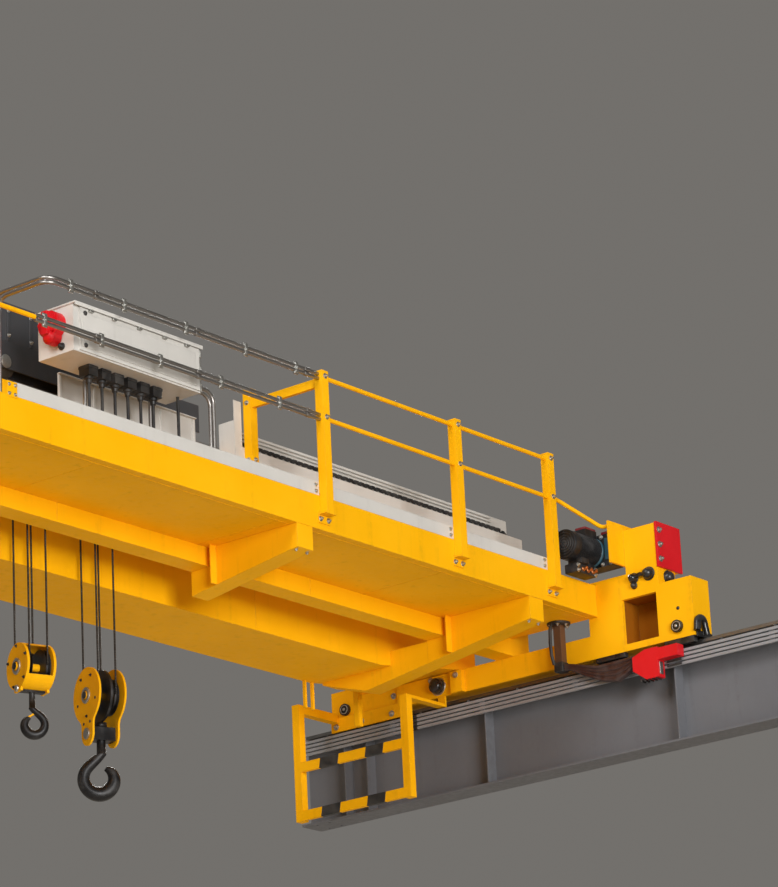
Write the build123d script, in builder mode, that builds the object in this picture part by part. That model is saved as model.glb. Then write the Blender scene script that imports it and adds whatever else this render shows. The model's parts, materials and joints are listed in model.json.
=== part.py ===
from build123d import *

import os
from math import cos, radians, sin

# Overhead bridge crane on a pair of runway girders, in millimetres.
# X runs along the bridge, Y along the runways, Z up. The origin is on the seat
# of the right runway girder, under the middle of its rail.

os.makedirs("parts", exist_ok=True)

# Runways
span = 17000.0
runway_bay = 2330.0
runway_bays = 5
runway_overhang = 105.0
runway_depth = 885.0
runway_flange_width = 310.0
runway_flange = 22.0
runway_web = 12.0
stiffener_plate = 12.0
stiffener_inset = 12.0
bearing_inset = 590.0
bearing_pitch = 295.0
seat_bolt_x = 200.0
seat_bolt_y = 160.0
seat_hole_radius = 14.0
seat_inset = 240.0
rail_height = 100.0
rail_head = 70.0
rail_head_depth = 34.0
rail_neck = 30.0
rail_foot = 130.0
rail_foot_edge = 14.0

# Conductor bars along the right runway
bar_width = 20.0
bar_height = 28.0
bar_pitch = 42.0
bar_count = 4
bar_standoff = 26.0
bar_hanger_thickness = 10.0
bar_hanger_width = 60.0
bar_hanger_pitch = 1165.0
bar_top_drop = 4.0

# End carriages
carriage_width = 300.0
carriage_length = 4580.0
carriage_end_gap = 460.0
carriage_clear = 25.0
carriage_depth = 240.0
carriage_wall = 12.0
wheel_block_length = 380.0
near_block_height = 600.0
far_block_height = 330.0
wheel_radius = 145.0
wheel_flange_rise = 20.0
wheel_flange_width = 22.0
wheel_play = 8.0
wheel_hub_radius = 80.0
wheel_hub_gap = 6.0
wheel_rail_gap = 0.3
wheel_room = 15.0
axle_radius = 45.0
axle_clearance = 0.05
axle_end_gap = 6.0
axle_cap_radius = 62.0
axle_cap_length = 34.0
tower_length = 860.0
tower_height = 780.0
tower_window_length = 410.0
tower_window_inset = 40.0
tower_window_height = 455.0
tower_window_sill = 70.0
tower_wall = 24.0
head_box_length = 380.0
head_box_width = 395.0
head_box_height = 450.0
head_ear_width = 240.0
head_ear_length = 24.0
head_ear_rise = 60.0
head_ear_height = 430.0
stop_plate = 26.0
stop_plate_margin = 8.0
hub_radius = 76.0
hub_length = 60.0
hub_from_centre = 860.0
hub_plate_near = 327.0
hub_plate_far = 543.0
hub_plate_height = 230.0
hub_plate_thickness = 22.0
hub_post_width = 145.0
hub_post_depth = 62.0
hub_post_height = 224.0
rail_guard_length = 928.0
rail_guard_rise = 50.0
rail_guard_clear = 25.0

# Bridge girders and their rails
walkway_from_near = 1133.0
walkway_rise = 180.0
aux_girder_from_face = 1060.0
aux_girder_width = 223.0
aux_girder_depth = 1170.0
rope_gap = 467.0
main_girder_width = 908.0
main_girder_drop = 182.0
main_taper_start = 1436.0
girder_plate = 8.0
girder_overrun = 120.0
bridge_rail_height = 60.0
bridge_rail_width = 60.0

# Walkway beside the auxiliary girder
channel_depth = 325.0
channel_flange = 90.0
channel_plate = 10.0
soffit_plate = 5.0
deck_plate = 6.0
toe_board_height = 125.0
toe_board_plate = 6.0
toe_board_left = -8380.0
toe_board_right = -750.0
bracket_width = 220.0
bracket_tip = 225.0
bracket_root = 415.0
bracket_plate = 10.0
bracket_fin_width = 80.0
bracket_fin_place_share = 0.92
bracket_inset = 4.0
bracket_places = (-4658.0, -1168.0)

# Handrail
post_side = 92.0
post_wall = 8.0
post_drop = 175.0
post_places = (-4388.0, -2398.0, -903.0)
middle_post_places = (-9000.0, -10800.0)
handrail_height = 1185.0
knee_rail_height = 745.0
rail_tube_radius = 21.0
end_rail_lead = 90.0
end_rail_bend = 70.0
inner_post_side = 92.0
inner_post_rise = 56.0
gate_rail_width = 40.0
gate_rail_height = 84.0
gate_rail_drop = 48.0
cleat_width = 150.0
cleat_height = 90.0
cleat_plate = 12.0

# Control cabinet on the walkway
cabinet_length = 1625.0
cabinet_depth = 416.0
cabinet_height = 430.0
cabinet_place = -6728.0
cabinet_from_face = 100.0
cabinet_above_deck = 650.0
cabinet_wall = 4.0
cabinet_door_inset = 70.0
cabinet_door_edge = 16.0
cabinet_door_rise = 14.0
cabinet_stand_shares = (-0.16, 0.36)
isolator_radius = 122.0
isolator_depth = 84.0
isolator_rise = 50.0
isolator_lobe_radius = 70.0
isolator_lobe_drop = 112.0
isolator_knob_width = 66.0
isolator_knob_length = 210.0
isolator_knob_depth = 62.0
gland_width = 110.0
gland_depth = 120.0
gland_height = 95.0
gland_pitch = 165.0
gland_count = 6
cable_radius = 14.0
end_cable_inset = 70.0

# Conduits in pairs along the handrail line
conduit_radius = 17.0
conduit_pitch = 44.0
conduit_left = -8170.0
conduit_corner = -7998.0
conduit_return = 560.0
conduit_bend = 110.0
drop_pair_lead = 215.0
drop_pair_inset = 60.0
drop_pair_rise = 60.0

# Trough with the chain that feeds the trolley
trough_depth = 190.0
trough_near_wall = 190.0
trough_back_wall = 430.0
trough_floor_below_top = 180.0
trough_plate = 4.0
trough_left = -4571.0
trough_sheet_width = 107.0
trough_sheet_rise = 200.0
chain_height = 110.0
chain_width = 130.0
chain_clear = 12.0

# Collector for the conductor bars
collector_post_width = 84.0
collector_post_length = 500.0
collector_post_from_face = 400.0
collector_foot_radius = 110.0
collector_foot_plate = 22.0
collector_box_length = 300.0
collector_box_height = 300.0
collector_box_width = 110.0
collector_box_slope_share = 0.36
collector_arm_length = 235.0
collector_arm_height = 115.0
collector_arm_rise = 15.0
collector_gap = 6.0
collector_from_face = 640.0
collector_rise = 50.0
tow_width = 56.0
tow_sag = 300.0
tow_root = 60.0
tow_upper_shares = ((0.0, 0.0), (0.25, 0.16), (0.48, 0.32), (1.0, 0.30))
tow_lower_shares = ((1.0, 0.62), (0.87, 0.86), (0.75, 1.0), (0.56, 0.90), (0.31, 0.56), (0.08, 0.17))

# Rope guard under the far end of the bridge
guard_x = -768.0
guard_far = 3440.0
guard_near = 1940.0
guard_side = 90.0
guard_drop = 1140.0
guard_far_height = 1227.0
guard_near_height = 1059.0
guard_bar_height = 100.0
guard_bar_depth = 40.0
guard_low_bar = 5.0
guard_high_bar = 510.0
guard_hanger_side = 60.0
guard_hanger_from_face = 2600.0
guard_hanger_drop = 210.0
guard_arm_height = 34.0
slim_hanger_width = 30.0
slim_hanger_drop = 283.0
slim_hanger_pitch = 117.0
slim_hanger_inset = 10.0

# Travel drive at each carriage
motor_radius = 138.0
motor_length = 470.0
motor_bell_length = 90.0
motor_bell_growth = 12.0
gear_case_length = 400.0
gear_case_width = 170.0
gear_case_height = 330.0
gear_case_margin = 18.0
drive_drop = 55.0
terminal_box_length = 190.0
terminal_box_width = 130.0
terminal_box_height = 70.0

# Trolley
trolley_place = -6221.0
trolley_length = 2800.0
trolley_side_width = 180.0
trolley_side_height = 250.0
trolley_side_plate = 15.0
trolley_side_clear = 60.0
trolley_wheel_radius = 125.0
trolley_wheel_flange = 18.0
trolley_wheel_flange_width = 18.0
trolley_wheel_play = 6.0
trolley_axle_radius = 34.0
trolley_axle_inset = 260.0
trolley_deck = 14.0
trolley_beam_width = 160.0
trolley_beam_height = 170.0
trolley_beam_share = 0.34
hoist_width = 900.0
main_hoist_length = 780.0
aux_hoist_length = 1180.0
hoist_height = 380.0
hoist_edge = 45.0
hoist_wall = 12.0
hoist_motor_radius = 150.0
hoist_motor_length = 420.0

# Hook blocks
block_turn = 20.0
main_block_place = -5786.0
aux_block_place = -6656.0
rope_radius = 9.0
rope_along = 87.0
rope_across = 143.0
main_hub_drop = 1133.0
main_cheek_radius = 255.0
main_lobe_radius = 108.0
main_waist_round = 90.0
main_lobe_drop = 350.0
main_cheek_gap = 232.0
main_cheek_plate = 20.0
main_guard_radius = 238.0
main_guard_plate = 24.0
main_bowl_radius = 92.0
main_bowl_drop = 752.0
aux_hub_drop = 1023.0
aux_cheek_radius = 210.0
aux_head_drop = 198.0
aux_tab_half = 62.0
aux_band_plate = 12.0
aux_window_low = 105.0
aux_window_high = 166.0
aux_cheek_gap = 232.0
aux_cheek_plate = 24.0
aux_bowl_radius = 60.0
aux_bowl_drop = 515.0
sheave_width = 44.0
sheave_rim = 22.0
sheave_seat_gap = 0.5
block_axle_radius = 36.0
hook_heading = 40.0
main_hook_turn = 0.0
aux_hook_turn = 180.0
hook_shift_share = 0.30
hook_flat_share = 0.94
hook_neck_share = 2.4
hook_bend_shares = (-0.38, 1.70)
hook_bend_lean = 44.0
hook_bend_size_share = 0.86
hook_angles = (50.0, 32.0, 6.0, -30.0, -65.0, -100.0, -140.0, -180.0, -214.0)
hook_size_shares = (0.34, 0.66, 0.92, 1.10, 1.20, 1.20, 1.08, 0.96, 0.90)
main_crosshead = 120.0
aux_crosshead = 60.0
hook_shank_share = 0.42
hook_collar_share = 1.12
hook_nut_rise = 46.0
hook_nut_growth = 16.0
hook_gap = 0.3
hook_bore_clearance = 0.05
cut_overrun = 40.0

# Places that follow from the sizes above
runway_length = runway_bays * runway_bay + 2 * runway_overhang
runway_end = runway_length / 2
rail_top = runway_depth + rail_height
carriage_y = runway_end - carriage_end_gap - carriage_length / 2
carriage_near = carriage_y - carriage_length / 2
carriage_far = carriage_y + carriage_length / 2
carriage_bottom = rail_top + carriage_clear
carriage_top = carriage_bottom + carriage_depth
face_y = carriage_near + walkway_from_near
walkway_bottom = carriage_top + walkway_rise
deck_top = walkway_bottom + channel_depth
girder_top = carriage_top + aux_girder_depth
bridge_rail_top = girder_top + bridge_rail_height
aux_near = face_y + aux_girder_from_face
aux_far = aux_near + aux_girder_width
main_near = aux_far + rope_gap
main_far = main_near + main_girder_width
main_bottom = carriage_top - main_girder_drop
main_hub_level = main_bottom - main_hub_drop
aux_hub_level = main_bottom - aux_hub_drop
guard_bottom = carriage_bottom - guard_drop
rope_y = (aux_far + main_near) / 2
aux_rail_y = (aux_near + aux_far) / 2
main_rail_y = (main_near + main_far) / 2
bridge_middle = Plane.YZ.offset(-span / 2)
inner_face = -carriage_width / 2
wheel_z = rail_top + wheel_radius + wheel_rail_gap
near_wheel_y = carriage_near + wheel_block_length / 2
far_wheel_y = carriage_far - wheel_block_length / 2
tower_near = carriage_near + wheel_block_length
tower_top = carriage_bottom + tower_height


def slab(x, y, z, mode=Mode.ADD):
    """Add a plate or block between the low and high ends given for each axis."""
    with Locations(((x[0] + x[1]) / 2, (y[0] + y[1]) / 2, (z[0] + z[1]) / 2)):
        Box(x[1] - x[0], y[1] - y[0], z[1] - z[0], mode=mode)


def square_tube(x, y, z, side, wall):
    """Add an upright square tube with closed ends."""
    slab((x - side / 2, x + side / 2), (y - side / 2, y + side / 2), z)
    inside = side / 2 - wall
    slab((x - inside, x + inside), (y - inside, y + inside), (z[0] + wall, z[1] - wall), mode=Mode.SUBTRACT)


def prism_x(points, x, mode=Mode.ADD):
    """Extrude a closed outline of (y, z) points along X."""
    with BuildSketch(Plane.YZ.offset(x[0])) as outline:
        with BuildLine():
            Polyline(*points, close=True)
        make_face()
    extrude(outline.sketch, amount=x[1] - x[0], mode=mode)


def prism_y(points, y, mode=Mode.ADD):
    """Extrude a closed outline of (x, z) points along Y."""
    with BuildSketch(Plane.XZ.offset(-y[1])) as outline:
        with BuildLine():
            Polyline(*points, close=True)
        make_face()
    extrude(outline.sketch, amount=y[1] - y[0], mode=mode)


def rod(start, end, radius, mode=Mode.ADD):
    """Add a round bar between two points."""
    line = Vector(*end) - Vector(*start)
    with BuildSketch(Plane(origin=start, z_dir=line)) as section:
        Circle(radius)
    extrude(section.sketch, amount=line.length, mode=mode)


def pipe(points, bend, radius):
    """Sweep a round tube along straight runs joined by arcs."""
    with BuildLine() as path:
        FilletPolyline(*points, radius=bend)
    with BuildSketch(path.line ^ 0) as section:
        Circle(radius)
    sweep(section.sketch, path=path.line)


def finish(piece, name):
    """Label a piece and write it as its own file."""
    piece.part.label = name
    export_step(piece.part, "parts/" + name + ".step")


def span_pair(low, high):
    """Ends of a piece that reaches as far from each side of the bridge."""
    return (low - span, high)


def i_section(centre, bottom, depth, width, flange, web):
    """Outline of an I-beam in the XZ plane."""
    half = width / 2
    core = web / 2
    return [
        (centre - half, bottom),
        (centre + half, bottom),
        (centre + half, bottom + flange),
        (centre + core, bottom + flange),
        (centre + core, bottom + depth - flange),
        (centre + half, bottom + depth - flange),
        (centre + half, bottom + depth),
        (centre - half, bottom + depth),
        (centre - half, bottom + depth - flange),
        (centre - core, bottom + depth - flange),
        (centre - core, bottom + flange),
        (centre - half, bottom + flange),
    ]


# Runway girders with their stiffeners and seat holes
interior = [(i - (runway_bays - 2) / 2) * runway_bay for i in range(runway_bays - 1)]
bearing = [runway_end - bearing_inset - i * bearing_pitch for i in range(2)]
stiffener_places = interior + bearing + [-place for place in bearing]
for side, centre in {"right": 0.0, "left": -span}.items():
    with BuildPart() as runway_girder:
        outline = i_section(centre, 0.0, runway_depth, runway_flange_width, runway_flange, runway_web)
        prism_y(outline, (-runway_end, runway_end))
        reach = runway_flange_width / 2 - stiffener_inset
        for place in stiffener_places:
            thickness = (place - stiffener_plate / 2, place + stiffener_plate / 2)
            height = (runway_flange, runway_depth - runway_flange)
            slab((centre + runway_web / 2, centre + reach), thickness, height)
            slab((centre - reach, centre - runway_web / 2), thickness, height)
        for end in (-1, 1):
            with Locations((centre, end * (runway_end - seat_inset), runway_flange / 2)):
                with GridLocations(seat_bolt_x, seat_bolt_y, 2, 2):
                    Cylinder(seat_hole_radius, runway_flange + cut_overrun, mode=Mode.SUBTRACT)
    finish(runway_girder, "runway_girder_" + side)

    with BuildPart() as runway_rail:
        foot_top = runway_depth + rail_foot_edge
        head_low = rail_top - rail_head_depth
        half_rail = [
            (rail_foot / 2, runway_depth),
            (rail_foot / 2, foot_top),
            (rail_neck / 2, foot_top + rail_foot_edge),
            (rail_neck / 2, head_low - rail_foot_edge),
            (rail_head / 2, head_low),
            (rail_head / 2, rail_top),
        ]
        outline = [(centre + x, z) for x, z in half_rail]
        outline += [(centre - x, z) for x, z in reversed(half_rail)]
        prism_y(outline, (-runway_end, runway_end))
    finish(runway_rail, "runway_rail_" + side)

# Conductor bars on hangers at the inner edge of the right runway
bar_x = -runway_flange_width / 2 - bar_standoff - bar_width
with BuildPart() as conductor_bars:
    bar_top = runway_depth - bar_top_drop
    for i in range(bar_count):
        level = bar_top - i * bar_pitch
        slab((bar_x, bar_x + bar_width), (-runway_end, runway_end), (level - bar_height, level))
    hangers = int((runway_length / 2 - bar_hanger_width) // bar_hanger_pitch)
    for i in range(-hangers, hangers + 1):
        place = i * bar_hanger_pitch
        width = (place - bar_hanger_width / 2, place + bar_hanger_width / 2)
        drop = bar_top - (bar_count - 1) * bar_pitch - bar_height
        slab((bar_x + bar_width, bar_x + bar_width + bar_hanger_thickness), width, (drop, bar_top))
        reach = (bar_x + bar_width, -runway_flange_width / 2)
        arm_low = runway_depth - runway_flange
        slab(reach, width, (arm_low, arm_low + bar_hanger_thickness))
finish(conductor_bars, "conductor_bars")

# End carriage: box beam, two wheel blocks and the tower at the walkway end
far_block_top = carriage_bottom + far_block_height
near_block_top = carriage_bottom + near_block_height
head_bottom = tower_top
head_top = head_bottom + head_box_height
head_near = tower_near
head_far = head_near + head_box_length
tower_far = tower_near + tower_length
wheel_half = rail_head / 2 + wheel_play + wheel_flange_width
slot = wheel_half + wheel_room
slot_top = wheel_z + wheel_radius + wheel_flange_rise + wheel_room


def wheel_room_cut(block_near, block_far):
    """Open a wheel block below for its wheel and bore it for the axle."""
    walls = (block_near + carriage_wall, block_far - carriage_wall)
    slab((-slot, slot), walls, (carriage_bottom - cut_overrun, slot_top), mode=Mode.SUBTRACT)
    wheel_y = (block_near + block_far) / 2
    reach = carriage_width / 2 + cut_overrun
    rod((-reach, wheel_y, wheel_z), (reach, wheel_y, wheel_z), axle_radius + axle_clearance, Mode.SUBTRACT)


with BuildPart() as carriage_right:
    half = carriage_width / 2
    slab((-half, half), (carriage_near, carriage_far), (carriage_bottom, carriage_top))
    slab((-half, half), (carriage_near, tower_near), (carriage_bottom, near_block_top))
    slab((-half, half), (carriage_far - wheel_block_length, carriage_far), (carriage_bottom, far_block_top))
    slab((-half, half), (tower_near, tower_far), (carriage_bottom, tower_top))
    slab((-half, head_box_width - half), (head_near, head_far), (head_bottom, head_top))
    ear_top = head_top + head_ear_rise
    ear_z = (ear_top - head_ear_height, ear_top)
    slab((-half - head_ear_width, half), (head_far, head_far + head_ear_length), ear_z)
    wheel_room_cut(carriage_near, carriage_near + wheel_block_length)
    wheel_room_cut(carriage_far - wheel_block_length, carriage_far)
    window_near = tower_near + tower_window_inset
    slab(
        (-half - cut_overrun, half - tower_wall),
        (window_near, window_near + tower_window_length),
        (carriage_bottom + tower_window_sill, carriage_bottom + tower_window_sill + tower_window_height),
        mode=Mode.SUBTRACT,
    )
    c = carriage_wall
    beam_y = (tower_far, carriage_far - wheel_block_length - c)
    slab((c - half, half - c), beam_y, (carriage_bottom + c, carriage_top - c), mode=Mode.SUBTRACT)
    room = (window_near + tower_window_length + tower_window_inset, tower_far - c)
    slab((c - half, half - c), room, (carriage_bottom + c, tower_top - c), mode=Mode.SUBTRACT)
    head_room = (head_near + c, head_far - c)
    head_x = (c - half, head_box_width - half - c)
    slab(head_x, head_room, (head_bottom + c, head_top - c), mode=Mode.SUBTRACT)
    hub_y = carriage_y + hub_from_centre
    plate_low = carriage_bottom
    slab(
        (-half - hub_plate_thickness, -half),
        (hub_y - hub_plate_near, hub_y + hub_plate_far),
        (plate_low, plate_low + hub_plate_height),
    )
    guard_z = (runway_depth + rail_guard_clear, carriage_bottom + rail_guard_rise)
    slab((-half - hub_plate_thickness, -half), (carriage_far - rail_guard_length, carriage_far), guard_z)
    post_near = hub_y - hub_plate_near
    slab(
        (-half - hub_post_depth, -half),
        (post_near, post_near + hub_post_width),
        (plate_low, plate_low + hub_post_height),
    )
finish(carriage_right, "end_carriage_right")

with BuildPart() as carriage_left:
    mirror(carriage_right.part, about=bridge_middle)
finish(carriage_left, "end_carriage_left")

# Stop plates, axle caps and hubs on both carriages
with BuildPart() as stop_plates:
    slab(
        (-half - stop_plate_margin, head_box_width - half + stop_plate_margin),
        (head_near - stop_plate, head_near),
        (head_bottom - stop_plate_margin, head_top + stop_plate_margin),
    )
    mirror(about=bridge_middle)
finish(stop_plates, "stop_plates")

with BuildPart() as axle_caps:
    for wheel_y in (near_wheel_y, far_wheel_y):
        cap_x = -half - axle_cap_length
        rod((cap_x, wheel_y, wheel_z), (-half, wheel_y, wheel_z), axle_cap_radius)
        rod((half, wheel_y, wheel_z), (half + axle_cap_length, wheel_y, wheel_z), axle_cap_radius)
    hub_x = -half - hub_plate_thickness
    hub_z = carriage_bottom + hub_plate_height / 2
    rod((hub_x - hub_length, hub_y, hub_z), (hub_x, hub_y, hub_z), hub_radius)
    mirror(about=bridge_middle)
finish(axle_caps, "axle_caps")

# Travel wheels, flanged on both sides of the rail, each with its axle
tread_half = rail_head / 2 + wheel_play
flange_radius = wheel_radius + wheel_flange_rise
journal = half - axle_end_gap
wheel_half_outline = [
    (0, -journal),
    (axle_radius, -journal),
    (axle_radius, -slot + wheel_hub_gap),
    (wheel_hub_radius, -slot + wheel_hub_gap),
    (wheel_hub_radius, -wheel_half),
    (flange_radius, -wheel_half),
    (flange_radius, -tread_half),
    (wheel_radius, -tread_half),
]
wheel_outline = wheel_half_outline + [(r, -x) for r, x in reversed(wheel_half_outline)]
travel_wheels = {
    "travel_wheel_right_near": (0.0, near_wheel_y),
    "travel_wheel_right_far": (0.0, far_wheel_y),
    "travel_wheel_left_near": (-span, near_wheel_y),
    "travel_wheel_left_far": (-span, far_wheel_y),
}
for name, (wheel_x, wheel_y) in travel_wheels.items():
    with BuildPart() as travel_wheel:
        section = Plane(origin=(wheel_x, wheel_y, wheel_z), x_dir=(0, 0, 1), z_dir=(0, -1, 0))
        with BuildSketch(section) as outline:
            with BuildLine():
                Polyline(*wheel_outline, close=True)
            make_face()
        revolve(outline.sketch, Axis((wheel_x, wheel_y, wheel_z), (1, 0, 0)))
    finish(travel_wheel, name)

# Main girder: hollow box, tapered up to its seat on the carriages
with BuildPart() as main_girder:
    ends = span_pair(-girder_overrun, girder_overrun)
    outer = [
        (ends[1], carriage_top),
        (ends[1], girder_top),
        (ends[0], girder_top),
        (ends[0], carriage_top),
        (-span - inner_face, carriage_top),
        (-span + main_taper_start, main_bottom),
        (-main_taper_start, main_bottom),
        (inner_face, carriage_top),
    ]
    prism_y(outer, (main_near, main_far))
    t = girder_plate
    inner = [
        (ends[1] - t, carriage_top + t),
        (ends[1] - t, girder_top - t),
        (ends[0] + t, girder_top - t),
        (ends[0] + t, carriage_top + t),
        (-span - inner_face, carriage_top + t),
        (-span + main_taper_start, main_bottom + t),
        (-main_taper_start, main_bottom + t),
        (inner_face, carriage_top + t),
    ]
    prism_y(inner, (main_near + t, main_far - t), mode=Mode.SUBTRACT)
finish(main_girder, "main_girder")

with BuildPart() as aux_girder:
    slab(ends, (aux_near, aux_far), (carriage_top, girder_top))
    inside = (ends[0] + t, ends[1] - t)
    slab(inside, (aux_near + t, aux_far - t), (carriage_top + t, girder_top - t), mode=Mode.SUBTRACT)
finish(aux_girder, "auxiliary_girder")

with BuildPart() as trolley_rails:
    for rail_y in (aux_rail_y, main_rail_y):
        across = (rail_y - bridge_rail_width / 2, rail_y + bridge_rail_width / 2)
        slab(span_pair(-inner_face, inner_face), across, (girder_top, bridge_rail_top))
finish(trolley_rails, "trolley_rails")

# Walkway: outer channel, soffit, deck and toe board
walkway_ends = span_pair(-inner_face, inner_face)
with BuildPart() as walkway_channel:
    c = channel_plate
    section = [
        (face_y, walkway_bottom),
        (face_y + channel_flange, walkway_bottom),
        (face_y + channel_flange, walkway_bottom + c),
        (face_y + c, walkway_bottom + c),
        (face_y + c, deck_top - c),
        (face_y + channel_flange, deck_top - c),
        (face_y + channel_flange, deck_top),
        (face_y, deck_top),
    ]
    prism_x(section, walkway_ends)
finish(walkway_channel, "walkway_channel")

with BuildPart() as walkway_soffit:
    slab(walkway_ends, (face_y + channel_flange, aux_near), (walkway_bottom, walkway_bottom + soffit_plate))
finish(walkway_soffit, "walkway_soffit")

with BuildPart() as walkway_deck:
    slab(walkway_ends, (face_y + channel_flange, aux_near), (deck_top - deck_plate, deck_top))
finish(walkway_deck, "walkway_deck")

with BuildPart() as toe_board:
    board = (face_y, face_y + toe_board_plate)
    slab((toe_board_left, toe_board_right), board, (deck_top, deck_top + toe_board_height))
finish(toe_board, "toe_board")

# Tapered brackets under the walkway, carried by the auxiliary girder
with BuildPart() as walkway_brackets:
    near = face_y + bracket_inset
    root_top = carriage_top
    tip_low = walkway_bottom - bracket_tip
    root_low = walkway_bottom - bracket_root
    bracket_outline = [
        (near, walkway_bottom),
        (aux_near, walkway_bottom),
        (aux_near, root_top),
        (aux_far, root_top),
        (aux_far, root_low),
        (near, tip_low),
    ]
    b = bracket_plate
    bracket_hollow = [
        (near + b, walkway_bottom - b),
        (aux_near - b, walkway_bottom - b),
        (aux_near - b, root_top - b),
        (aux_far - b, root_top - b),
        (aux_far - b, root_low + b),
        (near + b, tip_low + b),
    ]
    fin_y = near + (aux_near - near) * bracket_fin_place_share
    for place in bracket_places:
        prism_x(bracket_outline, (place - bracket_width / 2, place + bracket_width / 2))
        hollow = (place - bracket_width / 2 + bracket_plate, place + bracket_width / 2 - bracket_plate)
        prism_x(bracket_hollow, hollow, mode=Mode.SUBTRACT)
        fin_low = tip_low + (root_low - tip_low) * (fin_y - near) / (aux_far - near)
        fin_x = (place - bracket_width / 2 - bracket_fin_width, place - bracket_width / 2)
        slab(fin_x, (fin_y, fin_y + bracket_plate), (fin_low, walkway_bottom))
    mirror(about=bridge_middle)
finish(walkway_brackets, "walkway_brackets")

# Handrail posts on the channel face, and the rails between them
post_top = deck_top + handrail_height
post_bottom = deck_top - post_drop
rail_y = face_y - post_side / 2
with BuildPart() as handrail_posts:
    for place in post_places:
        square_tube(place, rail_y, (post_bottom, post_top), post_side, post_wall)
        cleat_x = (place - cleat_width / 2, place + cleat_width / 2)
        slab(cleat_x, (face_y - post_side, face_y), (post_bottom - cleat_plate, post_bottom))
        slab(cleat_x, (face_y - cleat_plate, face_y), (post_bottom - cleat_height, post_bottom))
    mirror(about=bridge_middle)
    for place in middle_post_places:
        top = deck_top + knee_rail_height + rail_tube_radius
        square_tube(place, rail_y, (post_bottom, top), post_side, post_wall)
    inner_y = aux_near - trough_depth - inner_post_side / 2
    inner_x = post_places[0]
    inner_z = (deck_top, post_top + inner_post_rise)
    square_tube(inner_x, inner_y, inner_z, inner_post_side, post_wall)
finish(handrail_posts, "handrail_posts")

with BuildPart() as handrails:
    top_z = post_top - 2 * rail_tube_radius
    knee_z = deck_top + knee_rail_height
    for level in (top_z, knee_z):
        for first, second in zip(post_places[:-1], post_places[1:]):
            start = (first + post_side / 2, rail_y, level)
            end = (second - post_side / 2, rail_y, level)
            rod(start, end, rail_tube_radius)
    ear_back = head_far + head_ear_length
    ear_x = inner_face - head_ear_width + 2 * rail_tube_radius
    ear_z = head_top + head_ear_rise - 2 * rail_tube_radius
    last_post = post_places[-1] + post_side / 2
    end_rail = [
        (last_post, rail_y, knee_z),
        (last_post + end_rail_lead, rail_y, knee_z),
        (ear_x, ear_back + end_rail_lead, ear_z),
        (ear_x, ear_back, ear_z),
    ]
    pipe(end_rail, end_rail_bend, rail_tube_radius)
    mirror(about=bridge_middle)
    stops = (-span - post_places[0],) + middle_post_places[::-1] + (conduit_left,)
    for first, second in zip(stops[:-1], stops[1:]):
        last = second == conduit_left
        end_x = second if last else second - post_side / 2
        rod((first + post_side / 2, rail_y, knee_z), (end_x, rail_y, knee_z), rail_tube_radius)
    gate_x = (inner_x - gate_rail_width / 2, inner_x + gate_rail_width / 2)
    gate_y = (face_y, inner_y - inner_post_side / 2)
    gate_top = post_top - gate_rail_drop
    slab(gate_x, gate_y, (gate_top - gate_rail_height, gate_top))
finish(handrails, "handrails")

# Control cabinet with its door, isolator, glands and cables
cab_x = (cabinet_place - cabinet_length / 2, cabinet_place + cabinet_length / 2)
cab_y = (face_y + cabinet_from_face, face_y + cabinet_from_face + cabinet_depth)
cab_z = (deck_top + cabinet_above_deck, deck_top + cabinet_above_deck + cabinet_height)
with BuildPart() as control_cabinet:
    slab(cab_x, cab_y, cab_z)
    w = cabinet_wall
    slab(
        (cab_x[0] + w, cab_x[1] - w),
        (cab_y[0] + w, cab_y[1] - w),
        (cab_z[0] + w, cab_z[1] - w),
        mode=Mode.SUBTRACT,
    )
    slab(
        (cab_x[0] + cabinet_door_inset, cab_x[1] - cabinet_door_edge),
        (cab_y[0] - cabinet_door_rise, cab_y[0]),
        (cab_z[0] + cabinet_door_edge, cab_z[1] - cabinet_door_edge),
    )
finish(control_cabinet, "control_cabinet")

with BuildPart() as isolator_switch:
    iso_y = (cab_y[0] + cab_y[1]) / 2
    iso_z = (cab_z[0] + cab_z[1]) / 2 + isolator_rise
    rod((cab_x[0] - isolator_depth, iso_y, iso_z), (cab_x[0], iso_y, iso_z), isolator_radius)
    lobe_z = iso_z - isolator_lobe_drop
    rod((cab_x[0] - isolator_depth, iso_y, lobe_z), (cab_x[0], iso_y, lobe_z), isolator_lobe_radius)
    knob_x = cab_x[0] - isolator_depth
    slab(
        (knob_x - isolator_knob_depth, knob_x),
        (iso_y - isolator_knob_width / 2, iso_y + isolator_knob_width / 2),
        (iso_z - isolator_knob_length / 2, iso_z + isolator_knob_length / 2),
    )
finish(isolator_switch, "isolator_switch")

gland_y = (cab_y[0] + cab_y[1]) / 2
with BuildPart() as cable_glands:
    for i in range(gland_count):
        place = cabinet_place + (i - (gland_count - 1) / 2) * gland_pitch
        slab(
            (place - gland_width / 2, place + gland_width / 2),
            (gland_y - gland_depth / 2, gland_y + gland_depth / 2),
            (cab_z[0] - gland_height, cab_z[0]),
        )
finish(cable_glands, "cable_glands")

with BuildPart() as cabinet_cables:
    for i in range(gland_count):
        place = cabinet_place + (i - (gland_count - 1) / 2) * gland_pitch
        rod((place, gland_y, deck_top), (place, gland_y, cab_z[0] - gland_height), cable_radius)
    end_cable = cab_x[1] - end_cable_inset
    rod((end_cable, gland_y, deck_top), (end_cable, gland_y, cab_z[0]), cable_radius)
finish(cabinet_cables, "cabinet_cables")

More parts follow.
